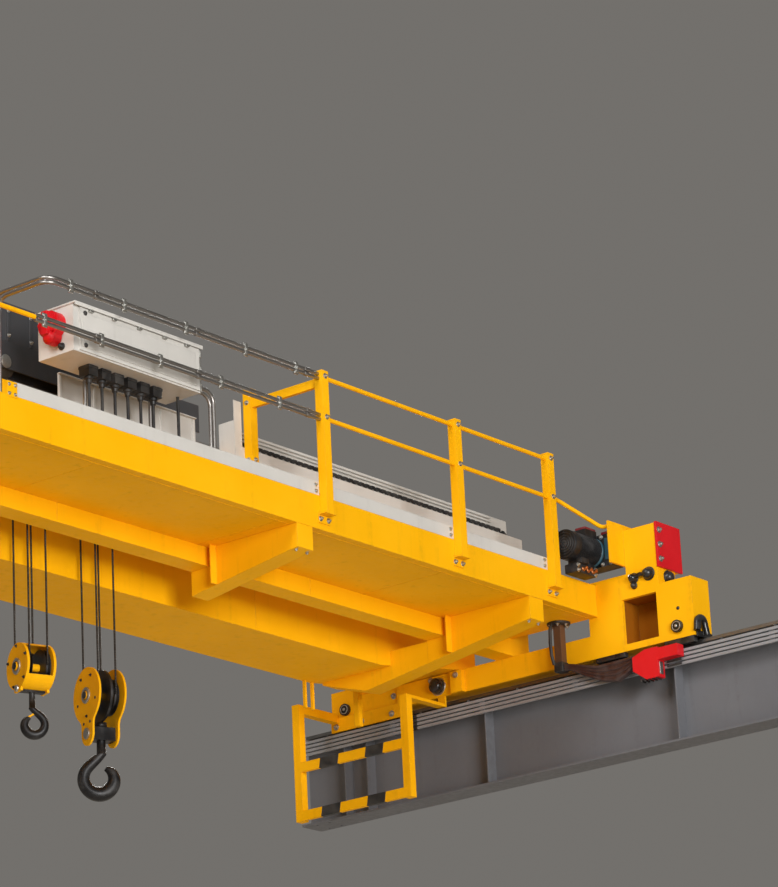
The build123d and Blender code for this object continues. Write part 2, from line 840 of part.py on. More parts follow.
# Conduits that take the place of the rails beside the cabinet
with BuildPart() as conduits:
    end_x = post_places[0] - post_side / 2
    for step in (-conduit_pitch / 2, conduit_pitch / 2):
        rod((conduit_left, rail_y, knee_z + step), (end_x, rail_y, knee_z + step), conduit_radius)
        back_y = face_y + conduit_return + step
        top_route = [
            (end_x, rail_y, top_z + step),
            (conduit_corner, rail_y, top_z + step),
            (conduit_corner, back_y, top_z + step),
            (conduit_corner, back_y, deck_top),
        ]
        pipe(top_route, conduit_bend, conduit_radius)
        drop_y = cab_y[0] + drop_pair_inset
        drop_z = cab_z[0] + drop_pair_rise + step
        drop_route = [
            (cab_x[1], drop_y, drop_z),
            (cab_x[1] + drop_pair_lead + step, drop_y, drop_z),
            (cab_x[1] + drop_pair_lead + step, drop_y, deck_top),
        ]
        pipe(drop_route, conduit_bend, conduit_radius)
    for share in cabinet_stand_shares:
        stand_x = cabinet_place + share * cabinet_length
        stand_y = cab_y[1] - conduit_radius
        rod((stand_x, stand_y, deck_top), (stand_x, stand_y, cab_z[0]), conduit_radius)
finish(conduits, "conduits")

# Feed trough on the auxiliary girder's near face, with its chain
trough_floor = girder_top - trough_floor_below_top
trough_near = aux_near - trough_depth
with BuildPart() as chain_trough:
    p = trough_plate
    trough_section = [
        (trough_near, trough_floor),
        (aux_near, trough_floor),
        (aux_near, trough_floor + trough_back_wall),
        (aux_near - p, trough_floor + trough_back_wall),
        (aux_near - p, trough_floor + p),
        (trough_near + p, trough_floor + p),
        (trough_near + p, trough_floor + trough_near_wall),
        (trough_near, trough_floor + trough_near_wall),
    ]
    prism_x(trough_section, (trough_left, walkway_ends[1]))
    sheet_z = (deck_top, trough_floor + trough_back_wall + trough_sheet_rise)
    slab((trough_left, trough_left + trough_sheet_width), (trough_near, trough_near + p), sheet_z)
    end_z = (trough_floor, trough_floor + trough_back_wall)
    slab((trough_left, trough_left + p), (trough_near, aux_near), end_z)
finish(chain_trough, "chain_trough")

with BuildPart() as feed_chain:
    chain_near = trough_near + p + chain_clear
    chain_low = trough_floor + p
    slab(
        (trough_left + p + chain_clear, walkway_ends[1] - head_ear_width),
        (chain_near, chain_near + chain_width),
        (chain_low, chain_low + chain_height),
    )
finish(feed_chain, "feed_chain")

# Collector: post under the end bay, tow arm and shoe box on the bars
box_x = (bar_x - collector_gap - collector_box_width, bar_x - collector_gap)
collector_post_x = (box_x[0] + box_x[1]) / 2
with BuildPart() as collector_post:
    post_y = face_y + collector_post_from_face
    top = walkway_bottom
    slab(
        (collector_post_x - collector_post_width / 2, collector_post_x + collector_post_width / 2),
        (post_y - collector_post_width / 2, post_y + collector_post_width / 2),
        (top - collector_post_length, top),
    )
    foot_low = (collector_post_x, post_y, top - collector_foot_plate)
    rod(foot_low, (collector_post_x, post_y, top), collector_foot_radius)
finish(collector_post, "collector_post")

box_y = face_y - collector_from_face
box_top = bar_top + collector_rise
box_far = box_y + collector_box_length / 2
box_near = box_y - collector_box_length / 2
box_low = box_top - collector_box_height
with BuildPart() as collector_box:
    slope = collector_box_height * collector_box_slope_share
    box_outline = [
        (box_far, box_top - slope / 2),
        (box_y, box_top),
        (box_near, box_top),
        (box_near, box_low),
        (box_y, box_low),
        (box_far, box_low + slope),
    ]
    prism_x(box_outline, box_x)
    arm_top = box_top - collector_arm_rise
    slab(box_x, (box_near - collector_arm_length, box_near), (arm_top - collector_arm_height, arm_top))
finish(collector_box, "collector_box")

with BuildPart() as tow_arm:
    tow_x = (collector_post_x - tow_width / 2, collector_post_x + tow_width / 2)
    start_y = post_y - collector_post_width / 2
    start_z = walkway_bottom - collector_post_length + tow_root
    reach = start_y - box_far
    tow_outline = []
    for along, down in tow_upper_shares + tow_lower_shares + ((0.0, tow_root / tow_sag),):
        tow_outline.append((start_y - along * reach, start_z - down * tow_sag))
    prism_x(tow_outline, tow_x)
finish(tow_arm, "tow_arm")

# Rope guard hung from the main girder's tapered end
with BuildPart() as rope_guard:
    far_y = face_y + guard_far
    near_y = face_y + guard_near
    x = (guard_x - guard_side / 2, guard_x + guard_side / 2)
    slab(x, (far_y - guard_side, far_y), (guard_bottom, guard_bottom + guard_far_height))
    slab(x, (near_y, near_y + guard_side), (guard_bottom, guard_bottom + guard_near_height))
    for level in (guard_low_bar, guard_high_bar):
        low = guard_bottom + level
        bar_front = (x[0], x[0] + guard_bar_depth)
        slab(bar_front, (near_y + guard_side, far_y - guard_side), (low, low + guard_bar_height))
    arm_top = guard_bottom + guard_near_height
    arm_y = (near_y, near_y + guard_side)
    slab((x[1], inner_face), arm_y, (arm_top - guard_arm_height, arm_top))
    plate_face = inner_face - hub_plate_thickness
    slab((plate_face, inner_face), arm_y, (arm_top - guard_arm_height, carriage_bottom))
    far_top = guard_bottom + guard_far_height
    slab((x[1], plate_face), (far_y - guard_side, far_y), (far_top - guard_side, far_top))
    hang_y = face_y + guard_hanger_from_face
    hanger = guard_hanger_side / 2
    hang_low = arm_top - guard_hanger_drop
    slab((guard_x - hanger, guard_x + hanger), (hang_y - hanger, hang_y + hanger), (hang_low, carriage_top))
    taper_room = [
        (inner_face, carriage_top),
        (-main_taper_start, main_bottom),
        (-main_taper_start, girder_top),
        (inner_face, girder_top),
    ]
    prism_y(taper_room, (main_near, main_far), mode=Mode.SUBTRACT)
    slim_y = (main_far - slim_hanger_inset - slim_hanger_width, main_far - slim_hanger_inset)
    for step in (0, slim_hanger_pitch):
        slim_x = -main_taper_start - slim_hanger_width - step
        slab((slim_x, slim_x + slim_hanger_width), slim_y, (main_bottom - slim_hanger_drop, main_bottom))
finish(rope_guard, "rope_guard")

# Travel drives on the carriage ears
with BuildPart() as travel_drives:
    drive_z = ear_top - head_ear_height / 2 - drive_drop
    case_y = head_far + head_ear_length
    case_x = (inner_face - gear_case_width, inner_face)
    case_z = (drive_z - gear_case_height / 2, drive_z + gear_case_height / 2)
    slab(case_x, (case_y, case_y + gear_case_length), case_z)
    motor_y = case_y + gear_case_length - motor_radius - gear_case_margin
    motor_end = case_x[0] - motor_length
    rod((motor_end, motor_y, drive_z), (case_x[0], motor_y, drive_z), motor_radius)
    bell = motor_radius + motor_bell_growth
    rod((motor_end, motor_y, drive_z), (motor_end + motor_bell_length, motor_y, drive_z), bell)
    slab(
        (case_x[0] - terminal_box_length, case_x[0]),
        (motor_y - terminal_box_width / 2, motor_y + terminal_box_width / 2),
        (drive_z, drive_z + motor_radius + terminal_box_height),
    )
    mirror(about=bridge_middle)
finish(travel_drives, "travel_drives")

# Trolley frame: two open-bottomed side frames, cross beams and a deck
side_low = bridge_rail_top + trolley_side_clear
side_top = side_low + trolley_side_height
trolley_x = (trolley_place - trolley_length / 2, trolley_place + trolley_length / 2)
trolley_axle_z = bridge_rail_top + trolley_wheel_radius + wheel_rail_gap
trolley_axles = {
    "trolley_axle_left": trolley_x[0] + trolley_axle_inset,
    "trolley_axle_right": trolley_x[1] - trolley_axle_inset,
}
with BuildPart() as trolley_frame:
    for rail_line in (aux_rail_y, main_rail_y):
        out = trolley_side_width / 2
        s = trolley_side_plate
        section = [
            (rail_line - out, side_low),
            (rail_line - out + s, side_low),
            (rail_line - out + s, side_top - s),
            (rail_line + out - s, side_top - s),
            (rail_line + out - s, side_low),
            (rail_line + out, side_low),
            (rail_line + out, side_top),
            (rail_line - out, side_top),
        ]
        prism_x(section, trolley_x)
    between = (aux_rail_y + trolley_side_width / 2, main_rail_y - trolley_side_width / 2)
    for share in (-trolley_beam_share, 0, trolley_beam_share):
        place = trolley_place + share * trolley_length
        beam_x = (place - trolley_beam_width / 2, place + trolley_beam_width / 2)
        slab(beam_x, between, (side_top - trolley_beam_height, side_top))
    deck_y = (aux_rail_y - trolley_side_width / 2, main_rail_y + trolley_side_width / 2)
    slab(trolley_x, deck_y, (side_top, side_top + trolley_deck))
    for axle_x in trolley_axles.values():
        ends_y = (deck_y[0] - cut_overrun, deck_y[1] + cut_overrun)
        bore = trolley_axle_radius + axle_clearance
        rod((axle_x, ends_y[0], trolley_axle_z), (axle_x, ends_y[1], trolley_axle_z), bore, Mode.SUBTRACT)
    rope_room = rope_across + rope_along
    for block_x in (main_block_place, aux_block_place):
        room_x = (block_x - rope_room, block_x + rope_room)
        room_y = (rope_y - rope_room, rope_y + rope_room)
        room_z = (side_top - cut_overrun, side_top + trolley_deck + cut_overrun)
        slab(room_x, room_y, room_z, mode=Mode.SUBTRACT)
finish(trolley_frame, "trolley_frame")

for name, axle_x in trolley_axles.items():
    with BuildPart() as trolley_axle:
        rod((axle_x, deck_y[0], trolley_axle_z), (axle_x, deck_y[1], trolley_axle_z), trolley_axle_radius)
        for rail_line in (aux_rail_y, main_rail_y):
            tread = bridge_rail_width / 2 + trolley_wheel_play
            edge = tread + trolley_wheel_flange_width
            rim = trolley_wheel_radius + trolley_wheel_flange
            stations = [(axle_x, rail_line + y, trolley_axle_z) for y in (-edge, -tread, tread, edge)]
            rod(stations[0], stations[3], trolley_wheel_radius)
            rod(stations[0], stations[1], rim)
            rod(stations[2], stations[3], rim)
    finish(trolley_axle, name)

# Hoist housings on the trolley deck
hoist_low = side_top + trolley_deck
hoist_y = (deck_y[0], deck_y[0] + hoist_width)
hoist_split = main_block_place - main_hoist_length / 2
hoists = {
    "main_hoist": (hoist_split, hoist_split + main_hoist_length),
    "aux_hoist": (hoist_split - aux_hoist_length, hoist_split),
}
for name, hoist_x in hoists.items():
    with BuildPart() as hoist:
        roof = hoist_low + hoist_height
        outline = [
            (hoist_y[0], hoist_low),
            (hoist_y[1], hoist_low),
            (hoist_y[1], roof - hoist_edge),
            (hoist_y[1] - hoist_edge, roof),
            (hoist_y[0] + hoist_edge, roof),
            (hoist_y[0], roof - hoist_edge),
        ]
        prism_x(outline, hoist_x)
        w = hoist_wall
        slab(
            (hoist_x[0] + w, hoist_x[1] - w),
            (hoist_y[0] + w, hoist_y[1] - w),
            (hoist_low + w, roof - hoist_edge),
            mode=Mode.SUBTRACT,
        )
    finish(hoist, name)

with BuildPart() as hoist_motor:
    motor_y = hoist_y[1] + hoist_motor_radius
    rod(
        (trolley_place - hoist_motor_length / 2, motor_y, hoist_low + hoist_motor_radius),
        (trolley_place + hoist_motor_length / 2, motor_y, hoist_low + hoist_motor_radius),
        hoist_motor_radius,
    )
finish(hoist_motor, "hoist_motor")

# Hook blocks hang on four falls of rope, turned a little about the vertical
axle_way = Vector(cos(radians(block_turn)), -sin(radians(block_turn)), 0)
cheek_way = Vector(sin(radians(block_turn)), cos(radians(block_turn)), 0)


def ropes(block_x, hub_level):
    """Four plumb falls from the hoist down to the sheaves of one block."""
    for along in (-rope_along, rope_along):
        for across in (-rope_across, rope_across):
            foot = Vector(block_x, rope_y, hub_level) + axle_way * along + cheek_way * across
            rod((foot.X, foot.Y, hub_level), (foot.X, foot.Y, hoist_low), rope_radius)


def block_axle(hub, gap, plate):
    """Axle through both cheeks, standing out on each side."""
    reach = axle_way * (gap / 2 + plate * 2)
    rod(tuple(hub - reach), tuple(hub + reach), block_axle_radius)


def pear_cheeks(hub):
    """Pair of pear-shaped side plates of the main block."""
    join = (main_cheek_radius**2 - main_lobe_radius**2) ** 0.5
    for side in (-1, 1):
        origin = hub + axle_way * (side * main_cheek_gap / 2)
        with BuildSketch(Plane(origin=origin, x_dir=cheek_way, z_dir=axle_way)) as cheek:
            Circle(main_cheek_radius)
            with Locations((0, -main_lobe_drop / 2)):
                Rectangle(2 * main_lobe_radius, main_lobe_drop)
            with Locations((0, -main_lobe_drop)):
                Circle(main_lobe_radius)
            waist = [v for v in cheek.vertices() if abs(v.Y + join) < hook_gap]
            fillet(waist, main_waist_round)
        extrude(cheek.sketch, amount=side * main_cheek_plate)


def drum_cheeks(hub):
    """Round side plates of the auxiliary block, with a band that leaves side windows."""
    tab = aux_head_drop + aux_crosshead / 2
    for side in (-1, 1):
        origin = hub + axle_way * (side * aux_cheek_gap / 2)
        with BuildSketch(Plane(origin=origin, x_dir=cheek_way, z_dir=axle_way)) as cheek:
            Circle(aux_cheek_radius)
            with Locations((0, -tab / 2)):
                Rectangle(2 * aux_tab_half, tab)
        extrude(cheek.sketch, amount=side * aux_cheek_plate)
    with BuildSketch(Plane(origin=hub, x_dir=cheek_way, z_dir=axle_way)) as band:
        Circle(aux_cheek_radius)
        Circle(aux_cheek_radius - aux_band_plate, mode=Mode.SUBTRACT)
        with Locations((0, (aux_window_high - aux_window_low) / 2)):
            past = 2 * (aux_cheek_radius + cut_overrun)
            Rectangle(past, aux_window_high + aux_window_low, mode=Mode.SUBTRACT)
        with Locations((0, -aux_head_drop)):
            Rectangle(aux_crosshead, aux_crosshead, mode=Mode.SUBTRACT)
    extrude(band.sketch, amount=aux_cheek_gap / 2, both=True)


def block_sheaves(hub):
    """Two grooved sheaves on the block's axle."""
    groove = rope_across - rope_radius - sheave_seat_gap
    rim = rope_across + sheave_rim
    half_width = sheave_width / 2
    for along in (-rope_along, rope_along):
        origin = hub + axle_way * along
        section = Plane(origin=origin, x_dir=cheek_way, z_dir=cheek_way.cross(axle_way))
        with BuildSketch(section) as outline:
            with BuildLine():
                Polyline(
                    (block_axle_radius, -half_width),
                    (rim, -half_width),
                    (groove, -rope_radius),
                    (groove, rope_radius),
                    (rim, half_width),
                    (block_axle_radius, half_width),
                    close=True,
                )
            make_face()
        revolve(outline.sketch, Axis(tuple(hub), tuple(axle_way)))


def crosshead_block(hub, drop, size, gap, shank):
    """Square bar between the cheeks, bored for the shank of the hook."""
    low = hub - Vector(0, 0, drop + size / 2)
    with BuildSketch(Plane(origin=low, x_dir=axle_way)) as head:
        Rectangle(gap, size)
        Circle(shank + hook_bore_clearance, mode=Mode.SUBTRACT)
    extrude(head.sketch, amount=size)


def hook(hub, turn, bowl, bowl_drop, shank, shank_top):
    """Forged hook: a bowl that swells to its back and thins to its point, a shank and its nut."""
    way = Vector(1, 0, 0)
    rise = Vector(0, 0, 1)
    centre = way * (-bowl * hook_shift_share)
    stations = []
    for angle, share in zip(hook_angles, hook_size_shares):
        out = way * cos(radians(angle)) + rise * sin(radians(angle))
        on = way * sin(radians(angle)) - rise * cos(radians(angle))
        stations.append((centre + out * (bowl * (1 + share / 2)), out, on, bowl * share / 2))
    lean = radians(hook_bend_lean)
    bend = centre + way * (bowl * hook_bend_shares[0]) + rise * (bowl * hook_bend_shares[1])
    on = way * sin(lean) + rise * cos(lean)
    out = rise * sin(lean) - way * cos(lean)
    stations.append((bend, out, on, bowl * hook_bend_size_share / 2))
    sections = []
    for origin, out, on, size in stations:
        with BuildSketch(Plane(origin=origin, x_dir=out, z_dir=on)) as section:
            Ellipse(size, size * hook_flat_share)
        sections.append(section.sketch.face())
    neck = bowl * hook_neck_share
    with BuildSketch(Plane(origin=rise * neck, x_dir=way * -1, z_dir=rise)) as section:
        Ellipse(shank * hook_collar_share, shank * hook_collar_share * hook_flat_share)
    sections.append(section.sketch.face())
    foot = hub - rise * bowl_drop
    nut_foot = shank_top - foot.Z
    nut_top = nut_foot + hook_nut_rise
    with BuildPart(mode=Mode.PRIVATE) as forging:
        loft(sections)
        rod((0, 0, neck), (0, 0, nut_top), shank)
        rod((0, 0, nut_foot), (0, 0, nut_top), shank + hook_nut_growth)
    add(forging.part.moved(Location(foot, (0, 0, -hook_heading - turn))))


blocks = {
    "main": (main_block_place, main_hub_level, main_lobe_drop, main_crosshead),
    "aux": (aux_block_place, aux_hub_level, aux_head_drop, aux_crosshead),
}
cheek_sizes = {"main": (main_cheek_gap, main_cheek_plate), "aux": (aux_cheek_gap, aux_cheek_plate)}
hooks = {
    "main": (main_bowl_radius, main_bowl_drop, main_hook_turn),
    "aux": (aux_bowl_radius, aux_bowl_drop, aux_hook_turn),
}
for name, (block_x, hub_level, head_drop, crosshead) in blocks.items():
    hub = Vector(block_x, rope_y, hub_level)
    gap, plate = cheek_sizes[name]
    bowl, bowl_drop, turn = hooks[name]
    shank = bowl * hook_shank_share
    with BuildPart() as falls:
        ropes(block_x, hub_level)
    finish(falls, name + "_ropes")

    with BuildPart() as cheeks:
        if name == "main":
            pear_cheeks(hub)
        else:
            drum_cheeks(hub)
        block_axle(hub, gap, plate)
    finish(cheeks, name + "_block_cheeks")

    with BuildPart() as sheaves:
        block_sheaves(hub)
        crosshead_block(hub, head_drop, crosshead, gap, shank)
        if name == "main":
            with BuildSketch(Plane(origin=hub, x_dir=cheek_way, z_dir=axle_way)) as guard:
                Circle(main_guard_radius)
                Circle(block_axle_radius, mode=Mode.SUBTRACT)
            extrude(guard.sketch, amount=main_guard_plate / 2, both=True)
    finish(sheaves, name + "_block_sheaves")

    with BuildPart() as hook_part:
        hook(hub, turn, bowl, bowl_drop, shank, hub_level - head_drop + crosshead / 2 + hook_gap)
    finish(hook_part, name + "_hook")
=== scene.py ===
import json
from math import cos, pi, radians, sin

import bmesh
import bpy
from mathutils import Matrix, Vector

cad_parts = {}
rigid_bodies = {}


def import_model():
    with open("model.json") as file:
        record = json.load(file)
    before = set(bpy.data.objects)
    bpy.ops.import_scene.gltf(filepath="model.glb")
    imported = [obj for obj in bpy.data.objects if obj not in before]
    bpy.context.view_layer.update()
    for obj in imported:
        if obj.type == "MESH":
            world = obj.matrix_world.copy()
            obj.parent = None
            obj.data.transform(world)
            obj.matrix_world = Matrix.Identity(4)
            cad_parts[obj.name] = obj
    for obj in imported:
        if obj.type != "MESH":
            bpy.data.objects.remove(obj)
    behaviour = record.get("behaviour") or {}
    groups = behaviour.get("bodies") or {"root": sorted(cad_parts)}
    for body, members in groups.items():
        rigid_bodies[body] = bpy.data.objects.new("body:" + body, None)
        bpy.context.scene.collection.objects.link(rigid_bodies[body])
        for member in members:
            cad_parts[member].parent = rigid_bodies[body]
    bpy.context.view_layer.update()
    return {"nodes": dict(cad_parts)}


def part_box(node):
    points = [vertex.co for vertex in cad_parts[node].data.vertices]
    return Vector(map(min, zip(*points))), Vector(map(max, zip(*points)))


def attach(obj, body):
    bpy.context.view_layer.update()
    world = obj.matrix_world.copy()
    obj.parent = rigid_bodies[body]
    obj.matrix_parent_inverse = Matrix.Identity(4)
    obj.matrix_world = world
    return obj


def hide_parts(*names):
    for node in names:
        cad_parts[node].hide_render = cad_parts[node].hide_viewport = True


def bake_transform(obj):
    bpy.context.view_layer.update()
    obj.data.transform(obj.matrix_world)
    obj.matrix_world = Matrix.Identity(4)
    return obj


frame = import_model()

bl_info = {
    "name": "Overhead bridge crane",
    "version": (1, 0, 0),
    "blender": (4, 5, 0),
    "location": "View3D > Sidebar > Crane",
    "description": "Dresses a bridge crane's frame with paint, fittings and a stage",
    "category": "Object",
}

NODES = frame["nodes"]


def box(node):
    """Low and high corners of a frame node."""
    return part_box(node)


BRIDGE_MIDDLE = (box("end_carriage_right")[0].x + box("end_carriage_left")[1].x) / 2
# Each end carriage: which way its outer side faces along X, and the X of its rail.
CARRIAGES = ((1, 0.0), (-1, 2 * BRIDGE_MIDDLE))
GUARD_FRONT = -0.813
FACE_Y = box("walkway_channel")[0].y
DECK_TOP = box("walkway_deck")[1].z
POST_FACE = box("handrail_posts")[0].y
POST_LINE = (POST_FACE + FACE_Y) / 2
POSTS = (-4.388, -2.398, -0.903)
BRACKETS = (-4.658, -1.168)
TOP_RAIL = DECK_TOP + 1.143
KNEE_RAIL = DECK_TOP + 0.745
TROUGH_WALL_TOP = 2.670
WHEEL_PLACES = (1.080, 5.280)
WHEEL_HEIGHT = 1.1303
# The hook blocks hang turned by 20 degrees: along their axle, and along their cheeks.
AXLE_WAY = Vector((cos(radians(20)), -sin(radians(20)), 0))
CHEEK_WAY = Vector((sin(radians(20)), cos(radians(20)), 0))
ROPE_LINE = (box("auxiliary_girder")[1].y + box("main_girder")[0].y) / 2
MAIN_HUB = Vector((-5.786, ROPE_LINE, -0.065))
AUX_HUB = Vector((-6.656, ROPE_LINE, 0.045))
# Name, hub, cheek face from the hub, pin below the hub, pin radius, axle stub past the face.
HOOK_BLOCKS = (
    ("main", MAIN_HUB, 0.136, 0.350, 0.052, 0.020),
    ("aux", AUX_HUB, 0.140, 0.198, 0.030, 0.024),
)
# A bracket's run-on under the main girder, as Y and Z.
TIE_OUTLINE = (
    (3.304, 1.240), (3.790, 1.240), (3.790, 1.160), (4.660, 1.160),
    (4.660, 1.066), (4.100, 0.898), (3.304, 1.015),
)
DOWN = (0, 0, -1)
NEAR = (0, -1, 0)
LEFT = (-1, 0, 0)
SMOOTH_BELOW = radians(38)


def other_end(spots):
    """Spots, each a place and the way it faces, with their mirror images at the bridge's left end."""
    both = list(spots)
    for place, way in spots:
        across = Vector((2 * BRIDGE_MIDDLE - place[0], place[1], place[2]))
        both.append((across, (-way[0], way[1], way[2])))
    return both


def linear(red, green, blue):
    """A screen colour, 0 to 255, as the linear colour that a shader takes."""
    levels = [c / 255 for c in (red, green, blue)]
    return tuple(c / 12.92 if c <= 0.04045 else ((c + 0.055) / 1.055) ** 2.4 for c in levels) + (1.0,)


class Sizes(bpy.types.PropertyGroup):
    """Sizes of the fittings that are added to the frame."""

    bolt_head: bpy.props.FloatProperty(
        name="Bolt head", description="Width across a bolt head", default=0.036, unit="LENGTH")
    rope_sides: bpy.props.IntProperty(
        name="Rope sides", description="Faces round each rope", default=14, min=6)
    link_pitch: bpy.props.FloatProperty(
        name="Link pitch", description="Distance between links of the feed chain",
        default=0.083, unit="LENGTH")
    chain_rise: bpy.props.FloatProperty(
        name="Chain rise", description="Height of the chain's upper run over its lower run",
        default=0.135, unit="LENGTH")
    clip_pitch: bpy.props.FloatProperty(
        name="Rail clip pitch", description="Distance between clips along a rail",
        default=0.62, unit="LENGTH")
    band_tilt: bpy.props.FloatProperty(
        name="Band tilt", description="Lean of the black bands on the rope guard",
        default=0.02, unit="LENGTH")
    floor_level: bpy.props.FloatProperty(
        name="Floor level", description="Height of the hall floor", default=-10.3, unit="LENGTH")


class Colours(bpy.types.PropertyGroup):
    """Colours of the paints and metals."""

    yellow: bpy.props.FloatVectorProperty(
        name="Yellow", description="Main paint", subtype="COLOR", size=4, default=linear(250, 180, 6))
    grey: bpy.props.FloatVectorProperty(
        name="Runway grey", description="Runway girder paint", subtype="COLOR", size=4,
        default=linear(103, 104, 108))
    red: bpy.props.FloatVectorProperty(
        name="Red", description="Stops, switch and collector", subtype="COLOR", size=4,
        default=linear(206, 14, 26))
    white: bpy.props.FloatVectorProperty(
        name="Off-white", description="Cabinet and toe board", subtype="COLOR", size=4,
        default=linear(204, 201, 195))


class Value:
    """A shader socket. Sums and products with it add Math nodes."""

    def __init__(self, maker, socket):
        self.maker = maker
        self.socket = socket

    def math(self, operation, first, second):
        return self.maker.node("ShaderNodeMath", {"operation": operation}, {0: first, 1: second})

    def __add__(self, other):
        return self.math("ADD", self, other)

    __radd__ = __add__

    def __sub__(self, other):
        return self.math("SUBTRACT", self, other)

    def __rsub__(self, other):
        return self.math("SUBTRACT", other, self)

    def __mul__(self, other):
        return self.math("MULTIPLY", self, other)

    __rmul__ = __mul__


class NodeMaker:
    """Adds nodes to a tree from a type, settings and socket values."""

    def __init__(self, tree):
        self.tree = tree

    def node(self, kind, settings=None, sockets=None, output=0):
        made = self.tree.nodes.new(kind)
        for key, value in (settings or {}).items():
            if key == "stops":
                ramp = made.color_ramp
                for index, (place, colour) in enumerate(value):
                    stop = ramp.elements[index] if index < 2 else ramp.elements.new(place)
                    stop.position = place
                    stop.color = colour
            else:
                setattr(made, key, value)
        for key, value in (sockets or {}).items():
            several = value if isinstance(value, list) else [value]
            for item in several:
                if isinstance(item, Value):
                    self.tree.links.new(item.socket, made.inputs[key])
                else:
                    made.inputs[key].default_value = item
        return Value(self, made.outputs[output])


class Finish(NodeMaker):
    """A material built round one Principled shader."""

    def __init__(self, name):
        self.material = bpy.data.materials.new(name)
        self.material.use_nodes = True
        super().__init__(self.material.node_tree)
        self.shader = self.tree.nodes["Principled BSDF"]
        self.place = self.node("ShaderNodeTexCoord", output=3)

    def set(self, socket, value):
        if isinstance(value, Value):
            self.tree.links.new(value.socket, self.shader.inputs[socket])
        else:
            self.shader.inputs[socket].default_value = value

    def stretched(self, scale):
        return self.node("ShaderNodeMapping", sockets={"Vector": self.place, "Scale": scale})

    def noise(self, scale, detail=3.0, roughness=0.5, where=None):
        sockets = {
            "Vector": where or self.place, "Scale": scale, "Detail": detail, "Roughness": roughness
        }
        return self.node("ShaderNodeTexNoise", {"noise_dimensions": "3D"}, sockets)

    def ramp(self, value, low, high):
        """0 below low, 1 above high."""
        sockets = {"Value": value, "From Min": low, "From Max": high}
        return self.node("ShaderNodeMapRange", {"clamp": True}, sockets)

    def mix(self, share, first, second, blend="MIX"):
        settings = {"data_type": "RGBA", "blend_type": blend}
        return self.node("ShaderNodeMix", settings, {0: share, 6: first, 7: second}, output=2)

    def facing_up(self):
        normal = self.node("ShaderNodeNewGeometry", output=1)
        return self.node("ShaderNodeSeparateXYZ", sockets={"Vector": normal}, output=2)

    def edges(self, reach=0.012):
        """1 along the edges of the piece, 0 on its flats."""
        eased = self.node("ShaderNodeBevel", {"samples": 4}, {"Radius": reach})
        true = self.node("ShaderNodeNewGeometry", output=1)
        same = self.node(
            "ShaderNodeVectorMath", {"operation": "DOT_PRODUCT"}, {0: eased, 1: true}, output=1
        )
        return self.ramp(same, 0.99, 0.8)

    def bump(self, height, strength, distance, ease=0.005):
        eased = self.node("ShaderNodeBevel", {"samples": 4}, {"Radius": ease})
        sockets = {"Height": height, "Strength": strength, "Distance": distance, "Normal": eased}
        self.set("Normal", self.node("ShaderNodeBump", sockets=sockets))


def paint(name, colour, rough=0.38, dirt=0.25, dust=0.35, peel=0.02, gloss=0.3):
    """Sprayed enamel: orange peel, faint runs, grime in patches and dust on what faces up."""
    coat = Finish(name)
    cloud = coat.noise(1.3, 4.0)
    fine = coat.noise(14.0, 5.0, 0.6)
    runs = coat.noise(1.0, 4.0, 0.55, coat.stretched((9.0, 9.0, 0.7)))
    shade = tuple(c * 0.72 for c in colour[:3]) + (1.0,)
    pale = tuple(min(1.0, c * 1.06 + 0.004) for c in colour[:3]) + (1.0,)
    base = coat.mix(coat.ramp(cloud, 0.3, 0.7), shade_between(colour, shade, 0.18), pale)
    grime = coat.ramp(runs, 0.56, 0.74) * coat.ramp(fine, 0.35, 0.6) * dirt
    base = coat.mix(grime, base, shade_between(shade, (0.05, 0.035, 0.02, 1.0), 0.45))
    lying = coat.ramp(coat.facing_up(), 0.6, 0.95) * coat.ramp(fine, 0.3, 0.62) * dust
    base = coat.mix(lying, base, (0.34, 0.30, 0.25, 1.0))
    rubbed = coat.edges() * coat.ramp(fine, 0.42, 0.66) * 0.55
    base = coat.mix(rubbed, base, shade_between(shade, (0.10, 0.085, 0.07, 1.0), 0.6))
    coat.set("Base Color", base)
    coat.set("Roughness", rough + 0.16 * coat.ramp(fine, 0.35, 0.65) + 0.25 * lying)
    coat.set("Specular IOR Level", gloss)
    coat.bump(coat.noise(420.0, 2.0) * 0.25 + cloud * 2.0, peel * 10, 0.002)
    return coat.material


def shade_between(first, second, share):
    """A colour part of the way from one to another."""
    return tuple(a + (b - a) * share for a, b in zip(first, second))


def metal(name, colour, rough=0.32, grain=(2.0, 60.0, 60.0), stain=0.3, shine=1.0):
    """Bare metal with drawn grain and stains."""
    bare = Finish(name)
    lines = bare.noise(6.0, 3.0, 0.6, bare.stretched(grain))
    patch = bare.noise(5.0, 5.0, 0.6)
    dark = shade_between(colour, (0, 0, 0, 1.0), 0.35)
    base = bare.mix(bare.ramp(lines, 0.3, 0.7), dark, colour)
    base = bare.mix(bare.ramp(patch, 0.52, 0.75) * stain, base, (0.12, 0.09, 0.07, 1.0))
    bare.set("Base Color", base)
    bare.set("Metallic", shine - 0.5 * shine * (bare.ramp(patch, 0.52, 0.75) * stain))
    bare.set("Roughness", rough + 0.22 * bare.ramp(lines, 0.25, 0.75))
    bare.bump(lines, 0.12, 0.001)
    return bare.material


def dark_metal(name, colour, rough=0.42):
    """Blackened or painted casting: pitted, rubbed paler in patches."""
    cast = Finish(name)
    pits = cast.noise(95.0, 4.0, 0.65)
    patch = cast.noise(7.0, 4.0)
    rubbed = shade_between(colour, (0.32, 0.31, 0.30, 1.0), 0.22)
    base = cast.mix(cast.ramp(patch, 0.48, 0.72) * 0.7, colour, rubbed)
    cast.set("Base Color", base)
    cast.set("Metallic", 0.35)
    cast.set("Roughness", rough + 0.2 * cast.ramp(patch, 0.3, 0.6))
    cast.bump(pits, 0.3, 0.0015)
    return cast.material


